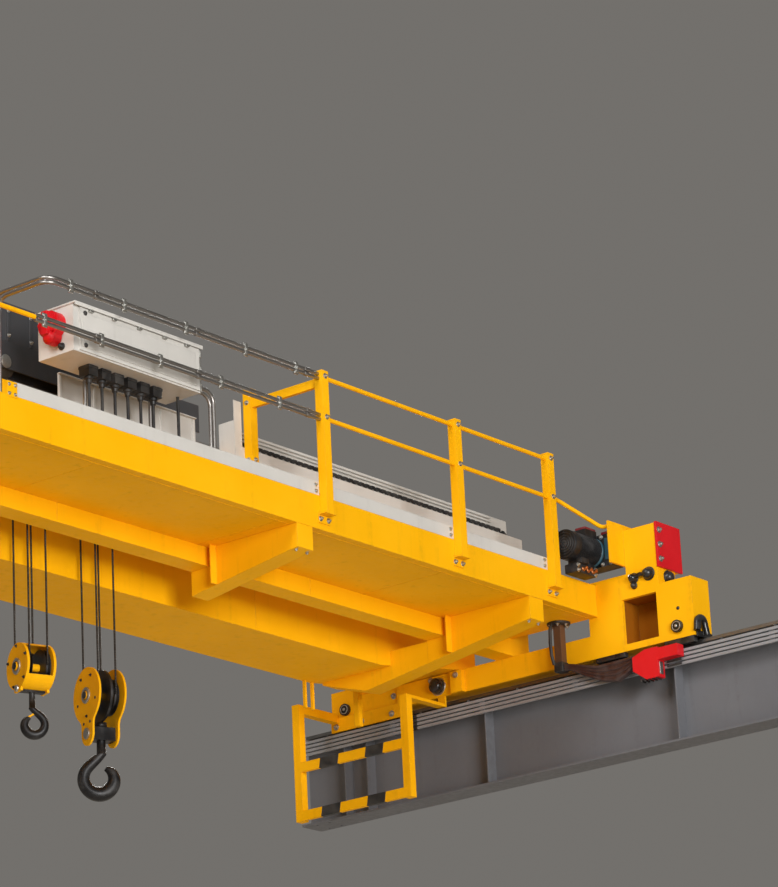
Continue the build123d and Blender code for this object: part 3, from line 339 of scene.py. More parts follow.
def plastic(name, colour, rough=0.5):
    """Moulded plastic or rubber with a fine grain."""
    skin = Finish(name)
    grain = skin.noise(300.0, 2.0)
    patch = skin.noise(9.0, 4.0)
    dusty = shade_between(colour, (0.22, 0.20, 0.18, 1.0), 0.16)
    skin.set("Base Color", skin.mix(skin.ramp(patch, 0.4, 0.7), colour, dusty))
    skin.set("Roughness", rough + 0.2 * skin.ramp(patch, 0.35, 0.65))
    skin.bump(grain, 0.15, 0.0008)
    return skin.material


def rope_finish(name):
    """Greased wire rope: strands wind round, so slanted stripes shade and bump it."""
    wire = Finish(name)
    sockets = {
        "Vector": wire.stretched((40.0, 40.0, 26.0)), "Scale": 1.0, "Distortion": 0.4, "Detail": 2.0
    }
    lay = wire.node("ShaderNodeTexWave", {"wave_type": "BANDS", "bands_direction": "DIAGONAL"}, sockets)
    grease = wire.noise(30.0, 4.0)
    base = wire.mix(lay, (0.008, 0.007, 0.006, 1.0), (0.055, 0.048, 0.04, 1.0))
    wire.set("Base Color", wire.mix(wire.ramp(grease, 0.5, 0.7), base, (0.02, 0.014, 0.008, 1.0)))
    wire.set("Metallic", 0.6)
    wire.set("Roughness", 0.35 + 0.25 * wire.ramp(grease, 0.4, 0.6))
    wire.bump(lay, 0.6, 0.003)
    return wire.material


def chequer_plate(name, colour):
    """Walkway plate with raised bars, worn pale where people step."""
    plate = Finish(name)
    scaled = plate.stretched((28.0, 28.0, 28.0))
    first = plate.node(
        "ShaderNodeTexWave", {"bands_direction": "DIAGONAL"}, {"Vector": scaled, "Scale": 0.5}
    )
    turned = plate.node("ShaderNodeMapping", sockets={"Vector": scaled, "Rotation": (0, 0, pi / 2)})
    second = plate.node(
        "ShaderNodeTexWave", {"bands_direction": "DIAGONAL"}, {"Vector": turned, "Scale": 0.5}
    )
    bars = plate.ramp(first * second, 0.45, 0.6)
    patch = plate.noise(2.5, 5.0)
    base = plate.mix(
        plate.ramp(patch, 0.42, 0.68), colour, shade_between(colour, (0.2, 0.17, 0.13, 1.0), 0.4)
    )
    plate.set(
        "Base Color", plate.mix(bars * 0.5, base, shade_between(colour, (0.6, 0.58, 0.55, 1.0), 0.35))
    )
    plate.set("Roughness", 0.45 + 0.2 * plate.ramp(patch, 0.4, 0.6))
    plate.bump(bars, 0.5, 0.004)
    return plate.material


def floor_finish(name, colour):
    """Plain pale floor with the faintest cloud in it."""
    slab = Finish(name)
    cloud = slab.noise(0.2, 2.0)
    slab.set("Base Color", slab.mix(cloud, colour, shade_between(colour, (1.0, 1.0, 1.0, 1.0), 0.06)))
    slab.set("Roughness", 0.7)
    return slab.material


FINISHES = {}


def make_finishes(colours):
    """Mix every paint and metal once."""
    yellow, grey = tuple(colours.yellow), tuple(colours.grey)
    red, white = tuple(colours.red), tuple(colours.white)
    FINISHES.update({
        "yellow": paint("yellow_enamel", yellow, 0.42, dust=0.14, gloss=0.06),
        # Dark yellow for the tower recess linings: painted shade that stands in for the shadow inside the
        # recesses.
        "painted_shade": paint("recess_painted_shade_enamel", linear(146, 84, 5), 0.6, 0.5, gloss=0.05),
        "grey": paint("runway_grey_paint", grey, 0.5, 0.3, 0.3),
        "red": paint("signal_red_enamel", red, 0.3, 0.12, 0.15),
        "white": paint("off_white_enamel", white, 0.42, 0.18, 0.3),
        "hoist": paint("hoist_grey_paint", linear(62, 63, 66), 0.45, 0.2, 0.14),
        "bronze": paint("bronze_paint", linear(92, 64, 44), 0.35, 0.4, 0.2),
        "rail": metal("worn_rail_steel", linear(150, 148, 145), 0.3, (60.0, 2.0, 60.0)),
        "bar": metal("drawn_bar_metal", linear(168, 170, 174), 0.4, (60.0, 1.5, 60.0), 0.06, 0.35),
        "tube": metal("conduit_tube_metal", linear(176, 172, 168), 0.24, (2.0, 60.0, 60.0), 0.35),
        "sheet": paint("trough_grey_paint", linear(206, 202, 195), 0.45, 0.15, 0.2),
        "zinc": metal("zinc_plated_steel", linear(205, 204, 198), 0.28, (20.0, 20.0, 20.0), 0.2),
        "wheel": dark_metal("wheel_steel", linear(70, 68, 66), 0.4),
        "machine": dark_metal("machine_black", linear(30, 30, 32), 0.38),
        "hook": dark_metal("hook_black", linear(26, 25, 26), 0.3),
        "black": plastic("black_plastic", linear(24, 24, 25), 0.45),
        "cap": plastic("black_cap", linear(20, 20, 21), 0.22),
        "cable": plastic("brown_cable", linear(54, 30, 27), 0.34),
        "tape": plastic("black_band_paint", linear(38, 37, 35), 0.5),
        "rope": rope_finish("greased_wire_rope"),
        "deck": chequer_plate("walkway_plate", yellow),
        "floor": floor_finish("pale_floor", linear(222, 212, 198)),
        "copper": metal("copper_terminal", linear(214, 140, 88), 0.3, (20.0, 20.0, 20.0), 0.15),
        "teal": plastic("teal_terminal", linear(40, 88, 104), 0.4),
        "maroon": plastic("dark_red_cover", linear(118, 18, 30), 0.35),
    })


NODE_FINISH = {
    "yellow": [
        "end_carriage_right", "end_carriage_left", "main_girder", "auxiliary_girder", "walkway_channel",
        "walkway_soffit", "walkway_brackets", "handrail_posts", "handrails", "rope_guard",
        "main_block_cheeks", "aux_block_cheeks",
    ],
    "grey": ["runway_girder_right", "runway_girder_left"],
    "rail": ["runway_rail_right", "runway_rail_left", "trolley_rails"],
    "bar": ["conductor_bars"],
    "red": ["stop_plates", "isolator_switch", "collector_box"],
    "cap": ["axle_caps"],
    "wheel": [
        "travel_wheel_right_near", "travel_wheel_right_far", "travel_wheel_left_near",
        "travel_wheel_left_far", "trolley_axle_left", "trolley_axle_right",
    ],
    "deck": ["walkway_deck"],
    "white": ["toe_board", "control_cabinet"],
    "black": ["cable_glands", "cabinet_cables", "feed_chain"],
    "tube": ["conduits"],
    "sheet": ["chain_trough"],
    "bronze": ["collector_post"],
    "cable": ["tow_arm"],
    "machine": ["travel_drives", "hoist_motor"],
    "hoist": ["main_hoist", "aux_hoist", "trolley_frame"],
    "rope": ["main_ropes", "aux_ropes"],
    "hook": ["main_block_sheaves", "aux_block_sheaves", "main_hook", "aux_hook"],
}


def piece(name, mesh, body, finish):
    """Turn a bmesh or mesh into an object of the crane that rides on a body."""
    if isinstance(mesh, bmesh.types.BMesh):
        bmesh.ops.recalc_face_normals(mesh, faces=mesh.faces)
        data = bpy.data.meshes.new(name)
        mesh.to_mesh(data)
        mesh.free()
    else:
        data = mesh
    data.name = name
    data.polygons.foreach_set("use_smooth", [True] * len(data.polygons))
    data.set_sharp_from_angle(angle=SMOOTH_BELOW)
    if not data.materials:
        data.materials.append(FINISHES[finish])
    made = bpy.data.objects.new(name, data)
    bpy.context.scene.collection.objects.link(made)
    if body:
        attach(made, body)
    return made


def block_into(shape, low, high, edge=0.0):
    """Add a block with softened edges."""
    low, high = Vector(low), Vector(high)
    place = Matrix.Translation((low + high) / 2) @ Matrix.Diagonal((*(high - low), 1))
    made = bmesh.ops.create_cube(shape, size=1, matrix=place)
    if edge:
        edges = list({e for v in made["verts"] for e in v.link_edges})
        bmesh.ops.bevel(shape, geom=edges, offset=edge, segments=2, affect="EDGES", profile=0.7)


def carriage_block_into(shape, carriage, x, y, z, edge=0.0):
    """Add a block at one end carriage, its X span measured outwards from that carriage's rail."""
    sign, start = carriage
    ends = sorted((start + sign * x[0], start + sign * x[1]))
    block_into(shape, (ends[0], y[0], z[0]), (ends[1], y[1], z[1]), edge)


def round_into(shape, start, end, radius, sides=24, far_radius=None):
    """Add a round bar or cone between two points."""
    start, end = Vector(start), Vector(end)
    way = end - start
    turn = way.to_track_quat("Z", "Y").to_matrix().to_4x4()
    bmesh.ops.create_cone(
        shape, cap_ends=True, segments=sides, radius1=radius,
        radius2=radius if far_radius is None else far_radius, depth=way.length,
        matrix=Matrix.Translation((start + end) / 2) @ turn)


def points_round(shape, middle, side, other, radius, count):
    """Add points round a middle, in the plane of two directions."""
    turns = [2 * pi * i / count for i in range(count)]
    return [shape.verts.new(middle + (side * cos(t) + other * sin(t)) * radius) for t in turns]


def wall_between(shape, first, second):
    """Add the faces between two loops of as many points."""
    for i in range(len(first)):
        j = (i + 1) % len(first)
        shape.faces.new((first[i], first[j], second[j], second[i]))


def turned_into(shape, base, way, profile, sides=28):
    """Add a shape turned about a line.

    The profile is a row of (radius, distance along) stations that starts and ends at no radius.
    """
    way = Vector(way).normalized()
    side = way.orthogonal().normalized()
    other = way.cross(side)
    loops = []
    for radius, along in profile:
        middle = Vector(base) + way * along
        count = sides if radius else 1
        loops.append(points_round(shape, middle, side, other, radius, count))
    for first, second in zip(loops, loops[1:]):
        for i in range(sides):
            corners = [first[i % len(first)], first[(i + 1) % len(first)]]
            corners += [second[(i + 1) % len(second)], second[i % len(second)]]
            shape.faces.new(list(dict.fromkeys(corners)))


def button_into(shape, base, way, radius, height, foot=0.012, sides=28):
    """Add a rounded rubber button on a flat foot ring."""
    rise = [
        (radius * cos(radians(a)) * 0.86, foot + (height - foot) * sin(radians(a)))
        for a in (0, 25, 50, 72)
    ]
    profile = [(0, 0), (radius, 0), (radius, foot * 0.8)] + rise + [(0, height)]
    turned_into(shape, base, way, profile, sides)


def ring_into(shape, base, way, outer, inner, height, sides=32):
    """Add a flat ring with its outer edge eased."""
    edge = height * 0.3
    profile = [(inner, 0), (outer, 0), (outer, height - edge), (outer - edge, height), (inner, height)]
    way = Vector(way).normalized()
    side = way.orthogonal().normalized()
    other = way.cross(side)
    loops = []
    for radius, along in profile:
        middle = Vector(base) + way * along
        loops.append(points_round(shape, middle, side, other, radius, sides))
    for first, second in zip(loops, loops[1:] + loops[:1]):
        wall_between(shape, first, second)


def bar_into(shape, points, radius, sides=14):
    """Add a round bar along a bent line of points, closed at both ends."""
    points = [Vector(p) for p in points]
    ways = [(b - a).normalized() for a, b in zip(points, points[1:])]
    ways = [ways[0]] + [(a + b).normalized() for a, b in zip(ways, ways[1:])] + [ways[-1]]
    side = ways[0].orthogonal().normalized()
    loops = []
    for point, way in zip(points, ways):
        side = (side - way * side.dot(way)).normalized()
        other = way.cross(side)
        loops.append(points_round(shape, point, side, other, radius, sides))
    for first, second in zip(loops, loops[1:]):
        wall_between(shape, first, second)
    shape.faces.new(loops[0][::-1])
    shape.faces.new(loops[-1])


def outline_into(shape, outline, place, thickness):
    """Add a plate from a flat outline: place turns each (across, up) pair and a depth into a point."""
    faces = []
    for depth in (0, thickness):
        faces.append([shape.verts.new(place(across, up, depth)) for across, up in outline])
    shape.faces.new(faces[0])
    shape.faces.new(faces[1][::-1])
    wall_between(shape, *faces)


class Graph(NodeMaker):
    """A Geometry Nodes tree with named inputs."""

    def __init__(self, name, inputs):
        self.group = bpy.data.node_groups.new(name, "GeometryNodeTree")
        super().__init__(self.group)
        face = self.group.interface
        face.new_socket("Geometry", in_out="INPUT", socket_type="NodeSocketGeometry")
        self.ids = {}
        for label, kind, value in inputs:
            made = face.new_socket(label, in_out="INPUT", socket_type=kind)
            if value is not None:
                made.default_value = value
            self.ids[label] = made.identifier
        face.new_socket("Geometry", in_out="OUTPUT", socket_type="NodeSocketGeometry")
        self.entry = self.tree.nodes.new("NodeGroupInput")
        self.exit = self.tree.nodes.new("NodeGroupOutput")

    def given(self, label):
        return Value(self, self.entry.outputs[label])

    def facing(self):
        """The way that each point faces."""
        settings = {"data_type": "FLOAT_VECTOR"}
        return self.node("GeometryNodeInputNamedAttribute", settings, {"Name": "facing"})

    def close(self, small, turn):
        """Set a small shape at every point, then realize, paint and send out what was made."""
        spots = self.node("GeometryNodeMeshToPoints", sockets={"Mesh": self.given("Geometry")})
        placed = self.node("GeometryNodeInstanceOnPoints", sockets={
            "Points": spots, "Instance": small, "Rotation": turn})
        solid = self.node("GeometryNodeRealizeInstances", sockets={"Geometry": placed})
        coated = self.node(
            "GeometryNodeSetMaterial", sockets={"Geometry": solid, "Material": self.given("Material")}
        )
        self.tree.links.new(coated.socket, self.exit.inputs[0])

    def run(self, name, source, values):
        """Apply the tree to a mesh and return the result as a plain mesh."""
        holder = bpy.data.objects.new(name + ".source", source)
        bpy.context.scene.collection.objects.link(holder)
        modifier = holder.modifiers.new("Graph", "NODES")
        modifier.node_group = self.group
        for label, value in values.items():
            modifier[self.ids[label]] = value
        view = bpy.context.evaluated_depsgraph_get()
        result = bpy.data.meshes.new_from_object(holder.evaluated_get(view), depsgraph=view)
        holder.modifiers.remove(modifier)
        bpy.data.objects.remove(holder)
        return result


def points_mesh(name, spots):
    """Loose points, each with the way that it faces."""
    mesh = bpy.data.meshes.new(name)
    mesh.from_pydata([tuple(p) for p, _ in spots], [], [])
    facing = mesh.attributes.new("facing", "FLOAT_VECTOR", "POINT")
    for index, (_, way) in enumerate(spots):
        facing.data[index].vector = way
    return mesh


def bolt_graph():
    """Hexagon heads on washers, one at each point."""
    graph = Graph("bolt_heads", [
        ("Head", "NodeSocketFloat", 0.036),
        ("Material", "NodeSocketMaterial", None),
    ])
    head = graph.given("Head")
    hexagon = graph.node("GeometryNodeMeshCylinder", sockets={
        "Vertices": 6, "Radius": head * 0.55, "Depth": head * 0.6})
    washer = graph.node("GeometryNodeMeshCylinder", sockets={
        "Vertices": 18, "Radius": head * 0.9, "Depth": head * 0.14})
    stud = graph.node("GeometryNodeMeshCylinder", sockets={
        "Vertices": 10, "Radius": head * 0.28, "Depth": head * 0.3})
    parts = []
    for shape, rise in ((hexagon, head * 0.44), (washer, head * 0.07), (stud, head * 0.89)):
        lift = graph.node("ShaderNodeCombineXYZ", sockets={"Z": rise})
        parts.append(
            graph.node("GeometryNodeTransform", sockets={"Geometry": shape, "Translation": lift})
        )
    bolt = graph.node("GeometryNodeJoinGeometry", sockets={"Geometry": parts})
    turn = graph.node("FunctionNodeAlignRotationToVector", {"axis": "Z"}, {"Vector": graph.facing()})
    graph.close(bolt, turn)
    return graph


def copy_graph():
    """Copies of one small piece, its Z along each point's facing and its X as near level as it can be."""
    graph = Graph("copies_on_points", [
        ("Piece", "NodeSocketObject", None),
        ("Material", "NodeSocketMaterial", None),
    ])
    info = graph.node("GeometryNodeObjectInfo", {"transform_space": "ORIGINAL"}, {
        "Object": graph.given("Piece")}, output="Geometry")
    turn = graph.node("FunctionNodeAlignRotationToVector", {"axis": "Z"}, {"Vector": graph.facing()})
    turn = graph.node("FunctionNodeAlignRotationToVector", {"axis": "X", "pivot_axis": "Z"}, {
        "Rotation": turn, "Vector": (1.0, 0.0, 0.0)})
    graph.close(info, turn)
    return graph


def copies(name, shape, spots, body, finish):
    """Repeat one small shape at each spot and make it a piece of the crane."""
    bmesh.ops.recalc_face_normals(shape, faces=shape.faces)
    data = bpy.data.meshes.new(name + ".one")
    shape.to_mesh(data)
    shape.free()
    one = bpy.data.objects.new(name + ".one", data)
    bpy.context.scene.collection.objects.link(one)
    mesh = copy_graph().run(
        name, points_mesh(name + ".spots", spots), {"Piece": one, "Material": FINISHES[finish]}
    )
    bpy.data.objects.remove(one)
    return piece(name, mesh, body, finish)


def bolts(name, spots, head, body, finish="zinc"):
    """Set a bolt of one size at each spot."""
    mesh = bolt_graph().run(
        name, points_mesh(name + ".spots", spots), {"Head": head, "Material": FINISHES[finish]}
    )
    return piece(name, mesh, body, finish)


def link_into(shape, pitch, width, height):
    """Add one link of the feed chain along X: two side plates and two cross bars."""
    for side in (-1, 1):
        y = side * (width / 2 - 0.009)
        block_into(
            shape, (-pitch * 0.46, y - 0.007, -height * 0.36),
            (pitch * 0.46, y + 0.007, height * 0.36), 0.004
        )
        block_into(
            shape, (-pitch * 0.2, y - 0.009, -height * 0.48), (pitch * 0.5, y + 0.009, -height * 0.2),
            0.004
        )
    for level in (-1, 1):
        z = level * (height / 2 - 0.009)
        block_into(
            shape, (-pitch * 0.24, -width * 0.46, z - 0.008), (pitch * 0.24, width * 0.46, z + 0.008),
            0.004
        )


def chain_route(start, end, low, high, pitch):
    """Places and headings of the links round a loop of two level runs and two bends."""
    radius = (high - low) / 2
    run = end - start - 2 * radius
    whole = 2 * run + 2 * pi * radius
    spots = []
    for i in range(int(whole / pitch)):
        along = (i + 0.5) * whole / int(whole / pitch)
        if along < run:
            spots.append(((start + radius + along, low), 0.0))
        elif along < run + pi * radius:
            turn = (along - run) / radius
            spots.append(((end - radius + radius * sin(turn), low + radius - radius * cos(turn)), turn))
        elif along < 2 * run + pi * radius:
            spots.append(((end - radius - (along - run - pi * radius), high), pi))
        else:
            turn = (along - 2 * run - pi * radius) / radius + pi
            spots.append(((start + radius + radius * sin(turn), low + radius - radius * cos(turn)), turn))
    return spots


def clip_graph():
    """Rail clips: a block foot with a bolt head, at each point and facing the rail."""
    graph = Graph("rail_clips", [
        ("Size", "NodeSocketFloat", 0.07),
        ("Material", "NodeSocketMaterial", None),
    ])
    size = graph.given("Size")
    shape = graph.node("ShaderNodeCombineXYZ", sockets={"X": size * 0.8, "Y": size, "Z": size * 0.32})
    foot = graph.node("GeometryNodeMeshCube", sockets={"Size": shape})
    foot = graph.node("GeometryNodeTransform", sockets={
        "Geometry": foot, "Translation": graph.node("ShaderNodeCombineXYZ", sockets={"Z": size * 0.16})})
    head = graph.node("GeometryNodeMeshCylinder", sockets={
        "Vertices": 6, "Radius": size * 0.25, "Depth": size * 0.3})
    lift = graph.node("ShaderNodeCombineXYZ", sockets={"X": size * -0.12, "Z": size * 0.46})
    head = graph.node("GeometryNodeTransform", sockets={"Geometry": head, "Translation": lift})
    clip = graph.node("GeometryNodeJoinGeometry", sockets={"Geometry": [foot, head]})
    turn = graph.node("FunctionNodeAlignRotationToVector", {"axis": "X", "pivot_axis": "Z"}, {
        "Vector": graph.facing()})
    graph.close(clip, turn)
    return graph


class CRANE_OT_paint_frame(bpy.types.Operator):
    """Give every frame node its paint or metal"""

    bl_idname = "crane.paint_frame"
    bl_label = "Paint the frame"

    def execute(self, context):
        make_finishes(context.scene.crane_colours)
        for finish, names in NODE_FINISH.items():
            for name in names:
                slots = NODES[name].material_slots
                for index in range(len(slots)):
                    slots[index].link = "OBJECT"
                    slots[index].material = FINISHES[finish]
        return {"FINISHED"}


class CRANE_OT_hoist_ropes(bpy.types.Operator):
    """Hang the ropes of both hook blocks as straight round falls"""

    bl_idname = "crane.hoist_ropes"
    bl_label = "Hoist ropes"

    def execute(self, context):
        sides = context.scene.crane_sizes.rope_sides
        for block in ("main", "aux"):
            node = NODES[block + "_ropes"]
            low, high = box(block + "_ropes")
            falls = cluster([v.co.to_2d() for v in node.data.vertices], 0.06)
            shape = bmesh.new()
            for spot, radius in falls:
                start = (spot.x, spot.y, low.z)
                end = (spot.x, spot.y, high.z)
                round_into(shape, start, end, radius, sides)
            made = piece(block + "_rope_falls", shape, None, "rope")
            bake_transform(made)
            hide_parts(block + "_ropes")
        return {"FINISHED"}


def cluster(points, reach):
    """Centres and radii of groups of points that lie close together in plan."""
    groups = []
    for point in points:
        for group in groups:
            if (group[0] - point).length < reach:
                group.append(point)
                break
        else:
            groups.append([point])
    found = []
    for group in groups:
        low = Vector((min(p.x for p in group), min(p.y for p in group)))
        high = Vector((max(p.x for p in group), max(p.y for p in group)))
        found.append(((low + high) / 2, (high.x - low.x) / 2))
    return found


class CRANE_OT_feed_chain(bpy.types.Operator):
    """Lay the feed chain's links, pins, stays and conduits in the trough"""

    bl_idname = "crane.feed_chain"
    bl_label = "Feed chain"

    def execute(self, context):
        low, high = box("feed_chain")
        pitch = context.scene.crane_sizes.link_pitch
        width, height = high.y - low.y, high.z - low.z
        middle = (low + high) / 2
        rise = context.scene.crane_sizes.chain_rise
        route = chain_route(low.x + 0.05, high.x - 0.02, middle.z, middle.z + rise, pitch)
        spots = [(Vector((x, middle.y, z)), (sin(-turn), 0, cos(turn))) for (x, z), turn in route]
        link = bmesh.new()
        link_into(link, pitch, width, height)
        links = copies("feed_chain_links", link, spots, "bridge", "black")
        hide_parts("feed_chain")
        pin = bmesh.new()
        for side in (-1, 1):
            profile = [(0, 0), (0.017, 0), (0.017, 0.003), (0.012, 0.006), (0, 0.006)]
            turned_into(pin, (0, side * (width / 2 - 0.002), 0), (0, side, 0), profile, 12)
        copies("feed_chain_pins", pin, spots, "bridge", "zinc")
        stays = bmesh.new()
        back = box("chain_trough")[1].y
        for i in range(4):
            x = low.x + 0.5 + i * (high.x - low.x - 1.0) / 3
            shelf = middle.z + rise - height / 2
            block_into(
                stays, (x - 0.02, middle.y - width / 2, shelf - 0.010),
                (x + 0.02, back - 0.004, shelf - 0.001), 0.002
            )
        piece("feed_chain_stays", stays, "bridge", "sheet")
        lines = bmesh.new()
        for level in (0.030, 0.066):
            z = TROUGH_WALL_TOP - level
            bar_into(
                lines, [(low.x + 0.14, back - 0.020, z), (high.x - 0.05, back - 0.020, z)], 0.009, 12
            )
        piece("trough_conduits", lines, "bridge", "sheet")
        return {"FINISHED"}


class CRANE_OT_rail_clips(bpy.types.Operator):
    """Clip both runway rails to their girders"""

    bl_idname = "crane.rail_clips"
    bl_label = "Rail clips"

    def execute(self, context):
        pitch = context.scene.crane_sizes.clip_pitch
        spots = []
        for side in ("right", "left"):
            low, high = box("runway_rail_" + side)
            top = box("runway_girder_" + side)[1].z
            count = int((high.y - low.y) / pitch)
            start = (low.y + high.y) / 2 - (count - 1) / 2 * pitch
            for i in range(count):
                y = start + i * pitch
                spots.append((Vector((low.x - 0.03, y, top)), (1, 0, 0)))
                spots.append((Vector((high.x + 0.03, y, top)), (-1, 0, 0)))
        mesh = clip_graph().run(
            "rail_clips", points_mesh("clip_spots", spots), {"Material": FINISHES["wheel"]}
        )
        piece("rail_clips", mesh, "runways", "wheel")
        return {"FINISHED"}


class CRANE_OT_guard_bands(bpy.types.Operator):
    """Wrap the rope guard's bars in slanted black bands"""

    bl_idname = "crane.guard_bands"
    bl_label = "Guard bands"

    def execute(self, context):
        low, high = box("rope_guard")
        post = 0.09
        lean = context.scene.crane_sizes.band_tilt
        first, last = high.y - post, low.y + post
        front = GUARD_FRONT
        shape = bmesh.new()
        for bottom in (low.z + 0.005, low.z + 0.51):
            for start, end in ((0.19, 0.375), (0.645, 0.82)):
                near = first + (last - first) * start
                far = first + (last - first) * end
                band_into(shape, near, far, lean, front, bottom)
        piece("guard_black_bands", shape, "bridge", "tape")
        return {"FINISHED"}


def band_into(shape, near, far, lean, front, bottom, depth=0.04, height=0.1, proud=0.0012):
    """Add a sleeve round a guard bar with both its ends leaning."""
    corners = []
    for x in (front - proud, front + depth + proud):
        for z, shift in ((bottom - proud, lean / 2), (bottom + height + proud, -lean / 2)):
            for y in (near, far):
                corners.append(shape.verts.new((x, y + shift, z)))
    for face in ((0, 1, 3, 2), (4, 6, 7, 5), (0, 4, 5, 1), (2, 3, 7, 6), (0, 2, 6, 4), (1, 5, 7, 3)):
        shape.faces.new([corners[i] for i in face])


class CRANE_OT_frame_bolts(bpy.types.Operator):
    """Bolt the stop plates, hub plates, post cleats, rails, brackets and gate post"""

    bl_idname = "crane.frame_bolts"
    bl_label = "Frame bolts"

    def execute(self, context):
        head = context.scene.crane_sizes.bolt_head
        stop_face = box("stop_plates")[0].y
        large = [((-0.118, stop_face, z), NEAR) for z in (2.165, 2.015, 1.865)]
        large += [
            ((-0.172, 4.133, 1.205), LEFT), ((-0.150, 4.640, 1.150), LEFT),
            ((-0.212, 3.786, 1.190), LEFT)
        ]
        large += [((-0.172, y, 0.965), LEFT) for y in (4.66, 5.06, 5.40)]
        bolts("plate_bolts", other_end(large), head, "bridge")
        small = []
        for place in POSTS:
            cleat = box("handrail_posts")[0].z
            small += [((place + step, FACE_Y - 0.012, cleat + 0.04), NEAR) for step in (-0.055, 0.055)]
            small += [((place, POST_FACE, level), NEAR) for level in (TOP_RAIL, KNEE_RAIL)]
        for place in BRACKETS:
            small += [((place + step, FACE_Y + 0.05, 1.205), DOWN) for step in (-0.075, 0.075)]
        bolts("post_bolts", other_end(small), head * 0.8, "bridge")
        gate = [((-4.434, 2.847, level), LEFT) for level in (2.86, 2.30, 1.86)]
        gate += [((-4.388, 2.801, level), NEAR) for level in (2.30, 1.86)]
        bolts("gate_post_bolts", gate, head * 0.7, "bridge")
        return {"FINISHED"}


class CRANE_OT_carriage_fittings(bpy.types.Operator):
    """Fit rubber buttons, a buffer arch, rail sweeps, dark recess linings of painted shade and cap rings
    to both carriages
    """

    bl_idname = "crane.carriage_fittings"
    bl_label = "Carriage fittings"

    def execute(self, context):
        rubber = bmesh.new()
        rings = bmesh.new()
        recess = bmesh.new()
        for carriage in CARRIAGES:
            sign, start = carriage

            def at(x, y, z):
                return Vector((start + sign * x, y, z))

            inward = (-sign, 0, 0)
            button_into(rubber, at(-0.150, 1.557, 1.725), inward, 0.056, 0.075)
            button_into(rubber, at(-0.150, 1.557, 1.650), inward, 0.036, 0.05)
            button_into(rubber, at(-0.150, 1.375, 1.735), inward, 0.070, 0.085)
            bar_into(
                rubber,
                [at(-0.170, 1.557, 1.735), at(-0.178, 1.466, 1.745), at(-0.170, 1.375, 1.740)], 0.020
            )
            button_into(rubber, at(0.02, 1.270, 1.705), NEAR, 0.072, 0.07)
            arch = [
                at(-0.075 - 0.062 * cos(radians(a)), 0.860, 1.115 + 0.070 * sin(radians(a)))
                for a in range(0, 181, 15)
            ]
            arch = [at(-0.150, 0.860, 1.045)] + arch + [at(0.012, 0.860, 1.030)]
            bar_into(rubber, arch, 0.036)
            for skirt in ((-0.146, -0.084), (0.084, 0.146)):
                for run in ((0.905, 1.255), (5.085, 5.455)):
                    carriage_block_into(rubber, carriage, skirt, run, (0.945, 1.012), 0.008)
            pad = (-0.146, -0.086)
            carriage_block_into(rubber, carriage, pad, (1.730, 2.080), (0.962, 1.012), 0.008)
            for sweep in ((0.872, 0.892), (5.468, 5.488)):
                carriage_block_into(rubber, carriage, (-0.13, 0.13), sweep, (0.997, 1.058), 0.004)
            button_into(rubber, at(-0.150, 1.064, 1.314), inward, 0.018, 0.01, 0.004)
            button_into(rubber, at(-0.232, 4.040, 1.125), inward, 0.072, 0.034, 0.008)
            for wheel_y in WHEEL_PLACES:
                for side in (-1, 1):
                    face = at(side * 0.184, wheel_y, WHEEL_HEIGHT)
                    way = (sign * side, 0, 0)
                    ring_into(rings, face, way, 0.050, 0.040, 0.004)
                    turned_into(
                        rings, face, way,
                        [(0, 0), (0.016, 0), (0.016, 0.012), (0.012, 0.016), (0, 0.016)], 6
                    )
            ring_into(rings, at(-0.172, 4.040, 1.125), inward, 0.094, 0.078, 0.010)
            # Recess linings: thin dark yellow plates inside each tower recess, painted shade that darkens
            # the recess where its shadow falls.
            back, walls = (0.118, 0.1265), (-0.110, 0.119)
            for x, y, z in (
                (back, (1.3115, 1.7185), (1.0815, 1.5335)),
                (walls, (1.3095, 1.313), (1.081, 1.534)),
                (walls, (1.717, 1.7205), (1.081, 1.534)),
                (walls, (1.313, 1.717), (1.531, 1.5355)),
            ):
                carriage_block_into(recess, carriage, x, y, z)
        piece("carriage_rubber", rubber, "bridge", "cap")
        piece("tower_recess_lining", recess, "bridge", "painted_shade")
        piece("carriage_cap_rings", rings, "bridge", "zinc")
        return {"FINISHED"}


